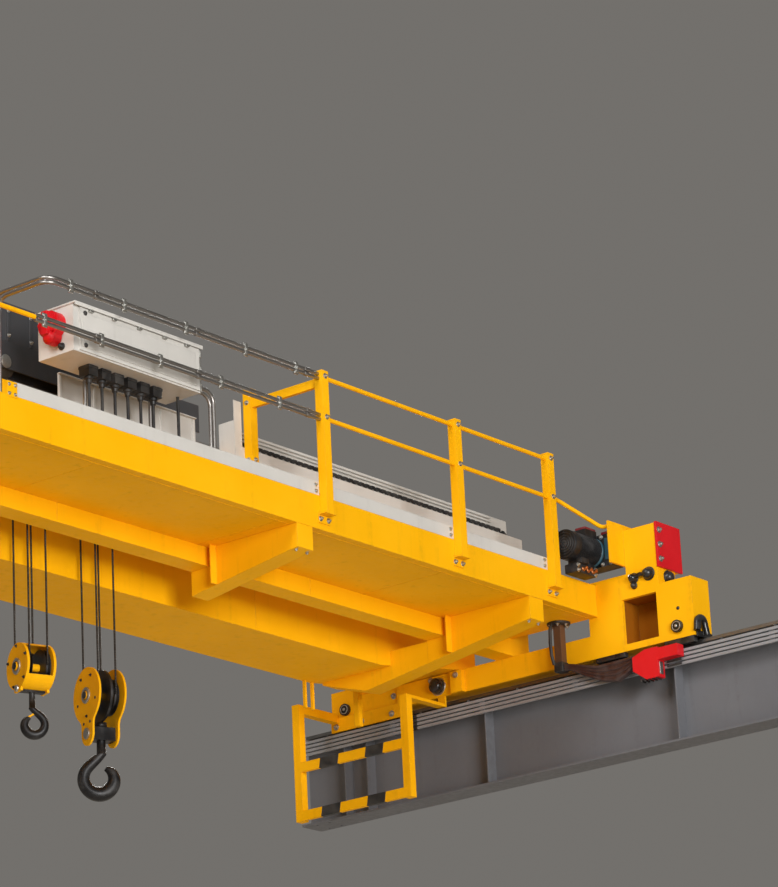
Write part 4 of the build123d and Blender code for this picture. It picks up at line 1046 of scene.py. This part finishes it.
class CRANE_OT_drive_fittings(bpy.types.Operator):
    """Rib the travel motors and add their covers, terminals and feet"""

    bl_idname = "crane.drive_fittings"
    bl_label = "Drive fittings"

    def execute(self, context):
        axis_y, axis_z = 1.918, 2.030
        rib = bmesh.new()
        turned_into(
            rib, (0, 0, -0.004), (0, 0, 1),
            [(0, 0), (0.142, 0), (0.149, 0.002), (0.149, 0.006), (0, 0.008)], 40
        )
        spots = [((-0.686 + i * 0.019, axis_y, axis_z), (1, 0, 0)) for i in range(18)]
        copies("motor_ribs", rib, other_end(spots), "bridge", "machine")
        fans = bmesh.new()
        covers = bmesh.new()
        trims = bmesh.new()
        glands = bmesh.new()
        feet = bmesh.new()
        for carriage in CARRIAGES:
            sign, start = carriage
            inward = (-sign, 0, 0)
            end = Vector((start + sign * -0.790, axis_y, axis_z))
            for radius in (0.146, 0.118, 0.090, 0.062, 0.034):
                ring_into(fans, end, inward, radius, radius - 0.011, 0.012)
            for turn in range(4):
                way = Vector((0, cos(pi * turn / 4), sin(pi * turn / 4))) * 0.142
                round_into(fans, end + way, end - way, 0.005, 8)
            carriage_block_into(covers, carriage, (-0.505, -0.325), (1.858, 1.978), (2.236, 2.262), 0.006)
            carriage_block_into(covers, carriage, (-0.318, -0.160), (1.69, 1.80), (2.193, 2.222), 0.006)
            ring_into(trims, (start + sign * -0.320, axis_y, axis_z), inward, 0.149, 0.10, 0.030)
            carriage_block_into(trims, carriage, (-0.33, -0.312), (1.72, 1.76), (1.93, 2.15), 0.004)
            for level, across in ((2.10, 1.89), (2.155, 1.925), (2.10, 1.955)):
                base = (start + sign * -0.510, across, level)
                profile = [(0, 0), (0.020, 0), (0.020, 0.022), (0.014, 0.028), (0.014, 0.05), (0, 0.05)]
                turned_into(glands, base, inward, profile, 16)
            for x in (-0.60, -0.52, -0.44):
                profile = [(0, 0), (0.026, 0), (0.026, 0.03), (0.017, 0.036), (0.017, 0.07), (0, 0.07)]
                turned_into(glands, (start + sign * x, 1.865, 1.80), NEAR, profile, 16)
            carriage_block_into(feet, carriage, (-0.665, -0.375), (1.865, 1.975), (1.845, 1.905), 0.008)
            carriage_block_into(feet, carriage, (-0.70, -0.37), (1.845, 1.995), (1.755, 1.850), 0.012)
            carriage_block_into(feet, carriage, (-0.68, -0.55), (1.80, 1.87), (1.845, 1.90), 0.01)
        piece("motor_fan_grilles", fans, "bridge", "machine")
        piece("drive_covers", covers, "bridge", "maroon")
        piece("drive_trims", trims, "bridge", "teal")
        piece("drive_terminals", glands, "bridge", "copper")
        piece("motor_feet", feet, "bridge", "machine")
        heads = [((x, 1.845, z), NEAR) for x in (-0.68, -0.395) for z in (1.775, 1.828)]
        heads += [((-0.32, y, z), LEFT) for y in (1.70, 1.80) for z in (1.89, 2.17)]
        bolts("drive_bolts", other_end(heads), 0.026, "bridge")
        return {"FINISHED"}


class CRANE_OT_cabinet_fittings(bpy.types.Operator):
    """Add the cabinet's rain lip, hinges, locks, gland nuts and switch handle"""

    bl_idname = "crane.cabinet_fittings"
    bl_label = "Cabinet fittings"

    def execute(self, context):
        low, high = box("control_cabinet")
        shell = bmesh.new()
        block_into(
            shell, (low.x - 0.012, low.y - 0.022, high.z - 0.004),
            (high.x + 0.012, high.y + 0.012, high.z + 0.012), 0.003
        )
        block_into(
            shell, (low.x - 0.012, low.y - 0.022, high.z - 0.024),
            (high.x + 0.012, low.y - 0.016, high.z), 0.002
        )
        block_into(
            shell, (low.x + 0.10, low.y - 0.006, low.z + 0.05),
            (high.x - 0.07, low.y + 0.002, high.z - 0.07), 0.003
        )
        piece("cabinet_lip", shell, "bridge", "white")
        strip = bmesh.new()
        block_into(
            strip, (high.x, low.y + 0.03, low.z + 0.012),
            (high.x + 0.034, low.y + 0.055, high.z - 0.03), 0.003
        )
        for level in (0.12, 0.5, 0.88):
            z = low.z + (high.z - low.z) * level
            round_into(
                strip, (high.x + 0.012, low.y + 0.02, z - 0.035),
                (high.x + 0.012, low.y + 0.02, z + 0.035), 0.012, 16
            )
        for share in (0.12, 0.3, 0.5, 0.7, 0.88):
            x = low.x + (high.x - low.x) * share
            block_into(
                strip, (x - 0.022, low.y - 0.030, high.z - 0.05),
                (x + 0.022, low.y - 0.004, high.z - 0.026), 0.003
            )
        piece("cabinet_hinges", strip, "bridge", "zinc")
        dark = bmesh.new()
        for share in (0.16, 0.84):
            z = low.z + (high.z - low.z) * share
            button_into(dark, (low.x + 0.13, low.y - 0.005, z), NEAR, 0.022, 0.018, 0.006)
        switch_low, switch_high = box("isolator_switch")
        middle = (switch_low + switch_high) / 2
        button_into(dark, (low.x + 0.001, middle.y - 0.07, low.z + 0.065), LEFT, 0.034, 0.045, 0.010)
        grip = bmesh.new()
        dial = switch_low.x + 0.062
        axis = middle.z + 0.030
        flutes = []
        for step in range(64):
            turn = 2 * pi * step / 64
            reach = 0.096 + 0.009 * cos(8 * turn)
            flutes.append((middle.y + reach * cos(turn), axis + reach * sin(turn)))
        ring_into(grip, (dial, middle.y, axis), LEFT, 0.121, 0.090, 0.012)
        outline_into(grip, flutes, lambda across, up, depth: Vector((dial - depth, across, up)), 0.034)
        turned_into(
            grip, (dial - 0.034, middle.y, axis), LEFT,
            [(0, 0), (0.082, 0), (0.070, 0.014), (0, 0.016)], 32
        )
        button_into(grip, (dial, middle.y, axis - 0.112), LEFT, 0.066, 0.046, 0.012)
        knob_low = (switch_low.x - 0.003, middle.y - 0.037, axis - 0.109)
        block_into(grip, knob_low, (dial, middle.y + 0.037, axis + 0.109), 0.016)
        piece("isolator_grip", grip, "bridge", "red")
        gland_low, gland_high = box("cable_glands")
        pitch = 0.165
        for i in range(6):
            x = -6.728 + (i - 2.5) * pitch
            y = (gland_low.y + gland_high.y) / 2
            profile = [(0, 0), (0.040, 0), (0.040, 0.022), (0.030, 0.028), (0.024, 0.06), (0, 0.06)]
            turned_into(dark, (x, y, gland_low.z), DOWN, profile, 12)
            block_into(
                dark, (x - 0.060, gland_low.y - 0.006, gland_high.z - 0.03),
                (x + 0.060, gland_high.y + 0.006, gland_high.z - 0.004), 0.006
            )
        piece("cabinet_black_fittings", dark, "bridge", "black")
        return {"FINISHED"}


class CRANE_OT_conduit_clips(bpy.types.Operator):
    """Clip the conduit pairs together along the handrail line"""

    bl_idname = "crane.conduit_clips"
    bl_label = "Conduit clips"

    def execute(self, context):
        clip = bmesh.new()
        block_into(clip, (-0.020, -0.050, -0.019), (0.020, 0.050, 0.019), 0.010)
        block_into(clip, (-0.028, -0.062, -0.006), (0.028, 0.062, 0.006), 0.002)
        turned_into(clip, (0, 0, 0.018), (0, 0, 1), [(0, 0), (0.011, 0), (0.011, 0.008), (0, 0.008)], 6)
        spots = [((x, POST_LINE, TOP_RAIL), NEAR) for x in (-7.72, -7.05, -6.25, -5.45, -4.75)]
        spots += [((x, POST_LINE, KNEE_RAIL), NEAR) for x in (-8.05, -7.35, -6.60, -5.80, -5.00)]
        copies("conduit_clips", clip, spots, "bridge", "zinc")
        ferrule = bmesh.new()
        turned_into(
            ferrule, (0, 0, -0.03), (0, 0, 1),
            [(0, 0), (0.021, 0), (0.022, 0.005), (0.022, 0.055), (0.021, 0.06), (0, 0.06)], 18
        )
        joints = []
        for x in (-7.40, -6.10, -4.60):
            for level in (TOP_RAIL, KNEE_RAIL):
                joints += [((x, POST_LINE, level + step), (1, 0, 0)) for step in (-0.022, 0.022)]
        copies("conduit_sleeves", ferrule, joints, "bridge", "tube")
        return {"FINISHED"}


class CRANE_OT_bar_splices(bpy.types.Operator):
    """Join the conductor bars with black splice covers"""

    bl_idname = "crane.bar_splices"
    bl_label = "Bar splices"

    def execute(self, context):
        low, high = box("conductor_bars")
        cover = bmesh.new()
        block_into(cover, (-0.055, -0.0125, -0.017), (0.055, 0.0125, 0.017), 0.004)
        turned_into(
            cover, (0, -0.0125, 0), (0, -1, 0), [(0, 0), (0.006, 0), (0.006, 0.002), (0, 0.002)], 8
        )
        bmesh.ops.rotate(cover, verts=cover.verts, matrix=Matrix.Rotation(pi / 2, 3, "Z"))
        spots = []
        for step in range(4):
            y = low.y + 1.60 + step * 2.9
            for bar in range(4):
                spots.append(((low.x + 0.010, y, high.z - 0.014 - bar * 0.042), (0, 0, 1)))
        copies("bar_splices", cover, spots, "runways", "black")
        return {"FINISHED"}


class CRANE_OT_collector_fittings(bpy.types.Operator):
    """Add the collector's flange, clamp, insert, brushes, hoses and lead"""

    bl_idname = "crane.collector_fittings"
    bl_label = "Collector fittings"

    def execute(self, context):
        post_low, post_high = box("collector_post")
        middle = (post_low + post_high) / 2
        low, high = box("collector_box")
        dark = bmesh.new()
        profile = [(0, 0), (0.104, 0), (0.116, 0.006), (0.118, 0.014), (0.118, 0.024), (0, 0.024)]
        turned_into(dark, (middle.x, middle.y, post_high.z - 0.0245), (0, 0, 1), profile, 36)
        block_into(
            dark, (middle.x - 0.052, middle.y - 0.052, post_low.z - 0.006),
            (middle.x + 0.052, middle.y + 0.052, post_low.z + 0.09), 0.008
        )
        for step in range(4):
            z = high.z - 0.064 - step * 0.042
            block_into(
                dark, (high.x - 0.01, low.y + 0.03, z - 0.010),
                (high.x + 0.001, low.y + 0.20, z + 0.010), 0.003
            )
        for step in range(5):
            y = low.y + 0.27 + step * 0.045
            block_into(
                dark, (low.x + 0.012, y, low.z - 0.014), (high.x - 0.012, y + 0.012, low.z + 0.01),
                0.003
            )
        piece("collector_black_fittings", dark, "bridge", "black")
        bright = bmesh.new()
        front = low.y + 0.235
        block_into(
            bright, (low.x + 0.022, front - 0.006, low.z + 0.03),
            (high.x - 0.030, front + 0.002, low.z + 0.155), 0.003
        )
        piece("collector_insert", bright, "bridge", "zinc")
        heads = [
            ((middle.x + 0.09 * cos(a), middle.y + 0.09 * sin(a), post_high.z - 0.0245), DOWN)
            for a in (0.5, 1.55, 2.6, 3.64, 4.69, 5.74)
        ]
        bolts("collector_bolts", heads, 0.022, "bridge")
        tow_low, tow_high = box("tow_arm")
        drop = tow_high.z - tow_low.z
        hoses = bmesh.new()
        for level in (0.12, 0.38, 0.64, 0.90):
            for x in (tow_low.x + 0.006, tow_high.x - 0.006):
                line = []
                for step in range(21):
                    along = 0.02 + 0.95 * step / 20
                    top, bottom = tow_edges(along)
                    z = tow_high.z - drop * (top + (bottom - top) * level)
                    line.append((x, tow_high.y - (tow_high.y - tow_low.y) * along, z))
                bar_into(hoses, line, 0.017, 10)
        piece("tow_arm_hoses", hoses, "bridge", "cable")
        guard = bmesh.new()
        side = post_low.x - 0.012
        bends = ((0.0, 1.41), (-0.03, 1.34), (-0.042, 1.20), (-0.03, 1.07), (0.004, 0.98))
        bar_into(guard, [(side + out, middle.y, z) for out, z in bends], 0.017)
        piece("collector_post_lead", guard, "bridge", "black")
        return {"FINISHED"}


def tow_edges(along):
    """Shares of the tow arm's drop at its upper and lower edge, by how far along it from the post."""
    upper = ((0.0, 0.0), (0.25, 0.16), (0.48, 0.32), (1.0, 0.30))
    lower = ((0.0, 0.2), (0.08, 0.17), (0.31, 0.56), (0.56, 0.90), (0.75, 1.0), (0.87, 0.86), (1.0, 0.62))
    found = []
    for edge in (upper, lower):
        for (first, start), (second, end) in zip(edge, edge[1:]):
            if first <= along <= second:
                found.append(start + (end - start) * (along - first) / (second - first))
                break
    return found


def node_copy(node):
    """A merged copy of a frame node's mesh."""
    shape = bmesh.new()
    shape.from_mesh(NODES[node].data)
    bmesh.ops.remove_doubles(shape, verts=shape.verts, dist=0.0002)
    bmesh.ops.recalc_face_normals(shape, faces=shape.faces)
    shape.normal_update()
    return shape


def slimmed_axle(node, journal=0.0345, share=0.97):
    """Stand in for a trolley axle with its journals turned down, so that they run free in the frame."""
    low, high = box(node)
    middle = (low + high) / 2
    shape = node_copy(node)
    for vert in shape.verts:
        out = Vector((vert.co.x - middle.x, 0, vert.co.z - middle.z))
        if out.length < journal:
            vert.co -= out * (1 - share)
    made = piece(node + "_turned", shape, node, "wheel")
    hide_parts(node)


def swollen_forging(node, swell):
    """Stand in for a hook with a fuller forging: it swells, and rises so that its lowest point stays."""
    low, high = box(node)
    shape = node_copy(node)
    ways = [vert.normal.copy() for vert in shape.verts]
    for vert, way in zip(shape.verts, ways):
        depth = (high.z - vert.co.z) / (high.z - low.z)
        share = min(1.0, max(0.0, (depth - 0.30) / 0.30))
        vert.co += (way + Vector((0, 0, 1))) * swell * share
    made = piece(node + "_forging", shape, node, "hook")
    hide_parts(node)


class CRANE_OT_hook_fittings(bpy.types.Operator):
    """Add hub rings, pins, bolts, fuller hooks and the latch to the hook blocks"""

    bl_idname = "crane.hook_fittings"
    bl_label = "Hook fittings"

    def execute(self, context):
        up = Vector((0, 0, 1))
        for name, hub, face, drop, pin, stub in HOOK_BLOCKS:
            bright = bmesh.new()
            dark = bmesh.new()
            heads = []
            for side in (-1, 1):
                way = AXLE_WAY * side
                centre = hub + way * face
                ring_into(bright, centre, way, 0.074, 0.046, 0.014)
                profile = [(0, 0), (0.034, 0), (0.034, 0.006), (0.026, 0.010), (0, 0.010)]
                turned_into(dark, centre + way * stub, way, profile, 24)
                lower = centre - up * drop
                turned_into(
                    bright, lower, way,
                    [(0, 0), (pin, 0), (pin, 0.012), (pin * 0.85, 0.018), (0, 0.018)], 28
                )
                if name == "main":
                    for turn in (60, 120, 270):
                        out = CHEEK_WAY * cos(radians(turn)) + up * sin(radians(turn))
                        heads.append((centre + out * 0.19, way))
                    for across, rise in ((-0.17, -0.06), (0.17, -0.06), (-0.06, -0.25), (0.06, -0.25)):
                        spot = centre + CHEEK_WAY * across + up * rise
                        turned_into(dark, spot, way, [(0, 0), (0.014, 0), (0.014, 0.002), (0, 0.002)], 16)
                else:
                    for turn in range(20, 360, 68):
                        out = CHEEK_WAY * cos(radians(turn)) + up * sin(radians(turn))
                        heads.append((centre + out * 0.185, way))
            piece(name + "_block_rings", bright, name + "_block", "zinc")
            piece(name + "_block_pins", dark, name + "_block", "cap")
            bolts(name + "_block_bolts", heads, 0.017, name + "_block", "machine")
        swollen_forging("main_hook", 0.010)
        swollen_forging("aux_hook", 0.007)
        way = Vector((cos(radians(220)), -sin(radians(220)), 0))
        side = way.cross(up)
        latch = bmesh.new()
        bowl = 0.060
        centre = AUX_HUB - up * 0.515 - way * (bowl * 0.30)

        def place(across, rise, depth):
            return centre + way * (across * bowl) + up * (rise * bowl) + side * (depth - 0.009)

        outline_into(
            latch, [(-0.35, 1.70), (-0.05, 1.85), (1.18, 1.12), (1.12, 0.90), (0.95, 0.98)], place,
            0.018
        )
        piece("aux_hook_latch", latch, "aux_hook", "yellow")
        return {"FINISHED"}


class CRANE_OT_trolley_fittings(bpy.types.Operator):
    """Dress the trolley: axles, buffers, hub caps, hoist straps, vents, motor ribs and bolts"""

    bl_idname = "crane.trolley_fittings"
    bl_label = "Trolley fittings"

    def execute(self, context):
        for axle in ("trolley_axle_left", "trolley_axle_right"):
            slimmed_axle(axle)
        low, high = box("trolley_frame")
        dark = bmesh.new()
        bright = bmesh.new()
        rails = ((low.y + 0.09), (high.y - 0.09))
        for y in rails:
            for x, way in ((low.x, (-1, 0, 0)), (high.x, (1, 0, 0))):
                button_into(dark, (x, y, low.z + 0.15), way, 0.060, 0.075, 0.018)
        for x in (low.x + 0.26, high.x - 0.26):
            for y, way in ((low.y, NEAR), (high.y, (0, 1, 0))):
                spot = (x, y, box("trolley_axle_left")[0].z + 0.143)
                turned_into(
                    bright, spot, way,
                    [(0, 0), (0.062, 0), (0.062, 0.006), (0.050, 0.011), (0, 0.011)], 32
                )
        heads = []
        covers = bmesh.new()
        vents = bmesh.new()
        for name, count in (("main_hoist", 3), ("aux_hoist", 4)):
            start, end = box(name)
            for i in range(count + 1):
                x = start.x + 0.03 + (end.x - start.x - 0.06) * i / count
                block_into(
                    covers, (x - 0.016, start.y - 0.006, start.z),
                    (x + 0.016, start.y + 0.004, end.z - 0.05), 0.003
                )
                block_into(
                    covers, (x - 0.016, end.y - 0.004, start.z),
                    (x + 0.016, end.y + 0.006, end.z - 0.05), 0.003
                )
                heads += [((x, start.y - 0.006, start.z + rise), NEAR) for rise in (0.05, 0.28)]
                heads += [((x, end.y + 0.006, start.z + rise), (0, 1, 0)) for rise in (0.05, 0.28)]
            for i in range(9):
                x = (start.x + end.x) / 2 - 0.14 + i * 0.035
                block_into(
                    vents, (x - 0.007, start.y - 0.005, start.z + 0.15),
                    (x + 0.007, start.y + 0.002, start.z + 0.25), 0.002
                )
                block_into(
                    vents, (x - 0.007, end.y - 0.002, start.z + 0.15),
                    (x + 0.007, end.y + 0.005, start.z + 0.25), 0.002
                )
        piece("hoist_straps", covers, "trolley", "hoist")
        piece("hoist_vents", vents, "trolley", "black")
        piece("trolley_buffers", dark, "trolley", "cap")
        piece("trolley_hub_caps", bright, "trolley", "zinc")
        bolts("hoist_bolts", heads, 0.022, "trolley")
        start, end = box("hoist_motor")
        middle = (start + end) / 2
        reach = (end.z - start.z) / 2
        rib = bmesh.new()
        turned_into(
            rib, (0, 0, -0.004), (0, 0, 1),
            [(0, 0), (reach + 0.008, 0), (reach + 0.012, 0.002), (reach + 0.012, 0.006), (0, 0.008)],
            40
        )
        spots = [((start.x + 0.06 + i * 0.02, middle.y, middle.z + 0.012), (1, 0, 0)) for i in range(15)]
        copies("hoist_motor_ribs", rib, spots, "trolley", "machine")
        box_shape = bmesh.new()
        block_into(
            box_shape, (middle.x - 0.08, middle.y - 0.06, end.z - 0.01),
            (middle.x + 0.08, middle.y + 0.06, end.z + 0.06), 0.008
        )
        piece("hoist_motor_box", box_shape, "trolley", "machine")
        return {"FINISHED"}


class CRANE_OT_walkway_fittings(bpy.types.Operator):
    """Add plate seams, toe board bolts, the cable tray, bracket ties and post caps to the walkway"""

    bl_idname = "crane.walkway_fittings"
    bl_label = "Walkway fittings"

    def execute(self, context):
        low, high = box("walkway_soffit")
        seams = bmesh.new()
        count = 7
        for i in range(1, count):
            x = low.x + (high.x - low.x) * i / count
            block_into(
                seams, (x - 0.006, low.y, low.z - 0.003), (x + 0.006, high.y, low.z + 0.002), 0.0015
            )
            block_into(
                seams, (x - 0.005, low.y, DECK_TOP - 0.002), (x + 0.005, high.y, DECK_TOP + 0.003),
                0.0015
            )
        block_into(
            seams, (low.x, low.y - 0.006, low.z - 0.004), (high.x, low.y + 0.006, low.z + 0.002),
            0.002
        )
        for node in ("main_girder", "auxiliary_girder"):
            start, end = box(node)
            for share in (0.2, 0.4, 0.6, 0.8):
                x = start.x + (end.x - start.x) * share
                for y in (start.y - 0.002, end.y - 0.001):
                    block_into(
                        seams, (x - 0.006, y, start.z + 0.02), (x + 0.006, y + 0.003, end.z - 0.02),
                        0.001
                    )
        piece("plate_seams", seams, "bridge", "yellow")
        toe_low = box("toe_board")[0]
        spots = []
        for place in POSTS:
            spots += [((place - 0.09, toe_low.y, DECK_TOP + rise), NEAR) for rise in (0.035, 0.095)]
        bolts("toe_board_bolts", spots, 0.022, "bridge")
        tray = bmesh.new()
        tray_x = (-7.30, -4.70)
        block_into(tray, (tray_x[0], 2.74, DECK_TOP), (tray_x[1], 2.88, DECK_TOP + 0.40), 0.006)
        for i in range(9):
            x = tray_x[0] + 0.03 + (tray_x[1] - tray_x[0] - 0.06) * i / 8
            block_into(
                tray, (x - 0.012, 2.732, DECK_TOP + 0.01), (x + 0.012, 2.742, DECK_TOP + 0.39), 0.003
            )
        block_into(
            tray, (tray_x[0] - 0.01, 2.728, DECK_TOP + 0.395),
            (tray_x[1] + 0.01, 2.884, DECK_TOP + 0.408), 0.003
        )
        screen = (-6.95, -5.15)
        block_into(tray, (screen[0], 2.876, DECK_TOP), (screen[1], 2.881, DECK_TOP + 0.78), 0.002)
        block_into(
            tray, (screen[0], 2.846, DECK_TOP + 0.775), (screen[1], 2.881, DECK_TOP + 0.785), 0.003
        )
        for i in range(5):
            x = screen[0] + 0.02 + (screen[1] - screen[0] - 0.04) * i / 4
            block_into(
                tray, (x - 0.015, 2.862, DECK_TOP + 0.40), (x + 0.015, 2.878, DECK_TOP + 0.77), 0.003
            )
        piece("deck_cable_tray", tray, "bridge", "sheet")
        ties = bmesh.new()
        for middle in (BRACKETS[1], 2 * BRIDGE_MIDDLE - BRACKETS[1]):
            def beside(across, up, depth):
                return Vector((middle - 0.11 + depth, across, up))

            outline_into(ties, TIE_OUTLINE, beside, 0.22)
        piece("bracket_ties", ties, "bridge", "yellow")
        caps = bmesh.new()
        tops = [(x, POST_LINE, box("handrail_posts")[1].z - 0.056) for x in POSTS]
        tops += [(2 * BRIDGE_MIDDLE - x, y, z) for x, y, z in tops]
        for x, y, z in tops:
            block_into(caps, (x - 0.048, y - 0.047, z - 0.004), (x + 0.048, y + 0.047, z + 0.012), 0.005)
        piece("post_caps", caps, "bridge", "yellow")
        plate = bmesh.new()
        block_into(
            plate, (toe_low.x - 0.09, FACE_Y - 0.004, DECK_TOP - 0.02),
            (toe_low.x + 0.03, FACE_Y + 0.002, DECK_TOP + 0.12), 0.002
        )
        piece("toe_board_end", plate, "bridge", "yellow")
        heads = [
            ((toe_low.x + x, FACE_Y - 0.004, DECK_TOP + z), NEAR)
            for x in (-0.065, 0.005) for z in (0.01, 0.09)
        ]
        bolts("toe_end_bolts", heads, 0.018, "bridge")
        return {"FINISHED"}


FLOOR_REACH = 260
LIGHT_TARGET = Vector((-4.5, 2.5, 1.2))
# Name, place, width in metres, power in watts.
LIGHTS = (
    ("key_light", (-34.0, -55.0, 1.0), 23.0, 32500.0),
    ("fill_light", (-26.0, -2.0, 15.0), 11.0, 3500.0),
    ("back_light", (14.0, 20.0, 12.0), 10.0, 5200.0),
)
SKY_COLOUR = (1.0, 0.95, 0.88, 1.0)
SKY_STRENGTH = 0.17
PICTURE_HEIGHT = 887
FOCUS_PIXELS = 3740
SENSOR = 36.0
EYE_PLACE = (-29.542, -18.427, -8.670)
EYE_TURN, EYE_RISE, EYE_ROLL = radians(52.0), radians(18.59), radians(2.89)


class CRANE_OT_stage(bpy.types.Operator):
    """Set the floor, the lights and the camera"""

    bl_idname = "crane.stage"
    bl_label = "Stage"

    def execute(self, context):
        scene = context.scene
        scene.view_settings.view_transform = "Standard"
        level = scene.crane_sizes.floor_level
        shape = bmesh.new()
        spot = Matrix.Translation((-8.5, 0, level))
        bmesh.ops.create_grid(shape, x_segments=1, y_segments=1, size=FLOOR_REACH, matrix=spot)
        floor = piece("floor", shape, None, "floor")
        sky = bpy.data.worlds.new("soft_sky")
        sky.use_nodes = True
        shade = sky.node_tree.nodes["Background"]
        shade.inputs["Color"].default_value = SKY_COLOUR
        shade.inputs["Strength"].default_value = SKY_STRENGTH
        scene.world = sky
        for name, place, size, power in LIGHTS:
            lamp = bpy.data.lights.new(name, "AREA")
            lamp.size = size
            lamp.energy = power
            light = bpy.data.objects.new(name, lamp)
            light.location = place
            light.rotation_euler = (LIGHT_TARGET - Vector(place)).to_track_quat("-Z", "Y").to_euler()
            scene.collection.objects.link(light)
        eye = bpy.data.cameras.new("eye")
        eye.sensor_fit = "AUTO"
        eye.sensor_width = SENSOR
        eye.lens = SENSOR * FOCUS_PIXELS / PICTURE_HEIGHT
        eye.clip_end = 1000.0
        camera = bpy.data.objects.new("eye", eye)
        ahead = Vector((sin(EYE_TURN) * cos(EYE_RISE), cos(EYE_TURN) * cos(EYE_RISE), sin(EYE_RISE)))
        level_right = Vector((cos(EYE_TURN), -sin(EYE_TURN), 0))
        level_down = ahead.cross(level_right)
        right = level_right * cos(EYE_ROLL) + level_down * sin(EYE_ROLL)
        down = level_down * cos(EYE_ROLL) - level_right * sin(EYE_ROLL)
        axes = Matrix((right, -down, -ahead)).transposed()
        camera.matrix_world = Matrix.Translation(EYE_PLACE) @ axes.to_4x4()
        scene.collection.objects.link(camera)
        scene.camera = camera
        return {"FINISHED"}


class CRANE_PT_sidebar(bpy.types.Panel):
    """Buttons that build the crane's fittings"""

    bl_idname = "CRANE_PT_sidebar"
    bl_label = "Bridge crane"
    bl_space_type = "VIEW_3D"
    bl_region_type = "UI"
    bl_category = "Crane"

    def draw(self, context):
        for step in STEPS:
            self.layout.operator(step.bl_idname)


STEPS = (
    CRANE_OT_paint_frame,
    CRANE_OT_hoist_ropes,
    CRANE_OT_feed_chain,
    CRANE_OT_rail_clips,
    CRANE_OT_guard_bands,
    CRANE_OT_frame_bolts,
    CRANE_OT_carriage_fittings,
    CRANE_OT_drive_fittings,
    CRANE_OT_cabinet_fittings,
    CRANE_OT_conduit_clips,
    CRANE_OT_bar_splices,
    CRANE_OT_collector_fittings,
    CRANE_OT_hook_fittings,
    CRANE_OT_trolley_fittings,
    CRANE_OT_walkway_fittings,
    CRANE_OT_stage,
)
CLASSES = (Sizes, Colours) + STEPS + (CRANE_PT_sidebar,)


def register():
    """Add the classes and the scene's settings."""
    for item in CLASSES:
        bpy.utils.register_class(item)
    bpy.types.Scene.crane_sizes = bpy.props.PointerProperty(type=Sizes)
    bpy.types.Scene.crane_colours = bpy.props.PointerProperty(type=Colours)


def unregister():
    """Take the settings and the classes away again."""
    del bpy.types.Scene.crane_colours
    del bpy.types.Scene.crane_sizes
    for item in reversed(CLASSES):
        bpy.utils.unregister_class(item)


def main():
    """Build everything in order."""
    register()
    for step in STEPS:
        group, name = step.bl_idname.split(".")
        getattr(getattr(bpy.ops, group), name)()


if __name__ == "__main__":
    main()
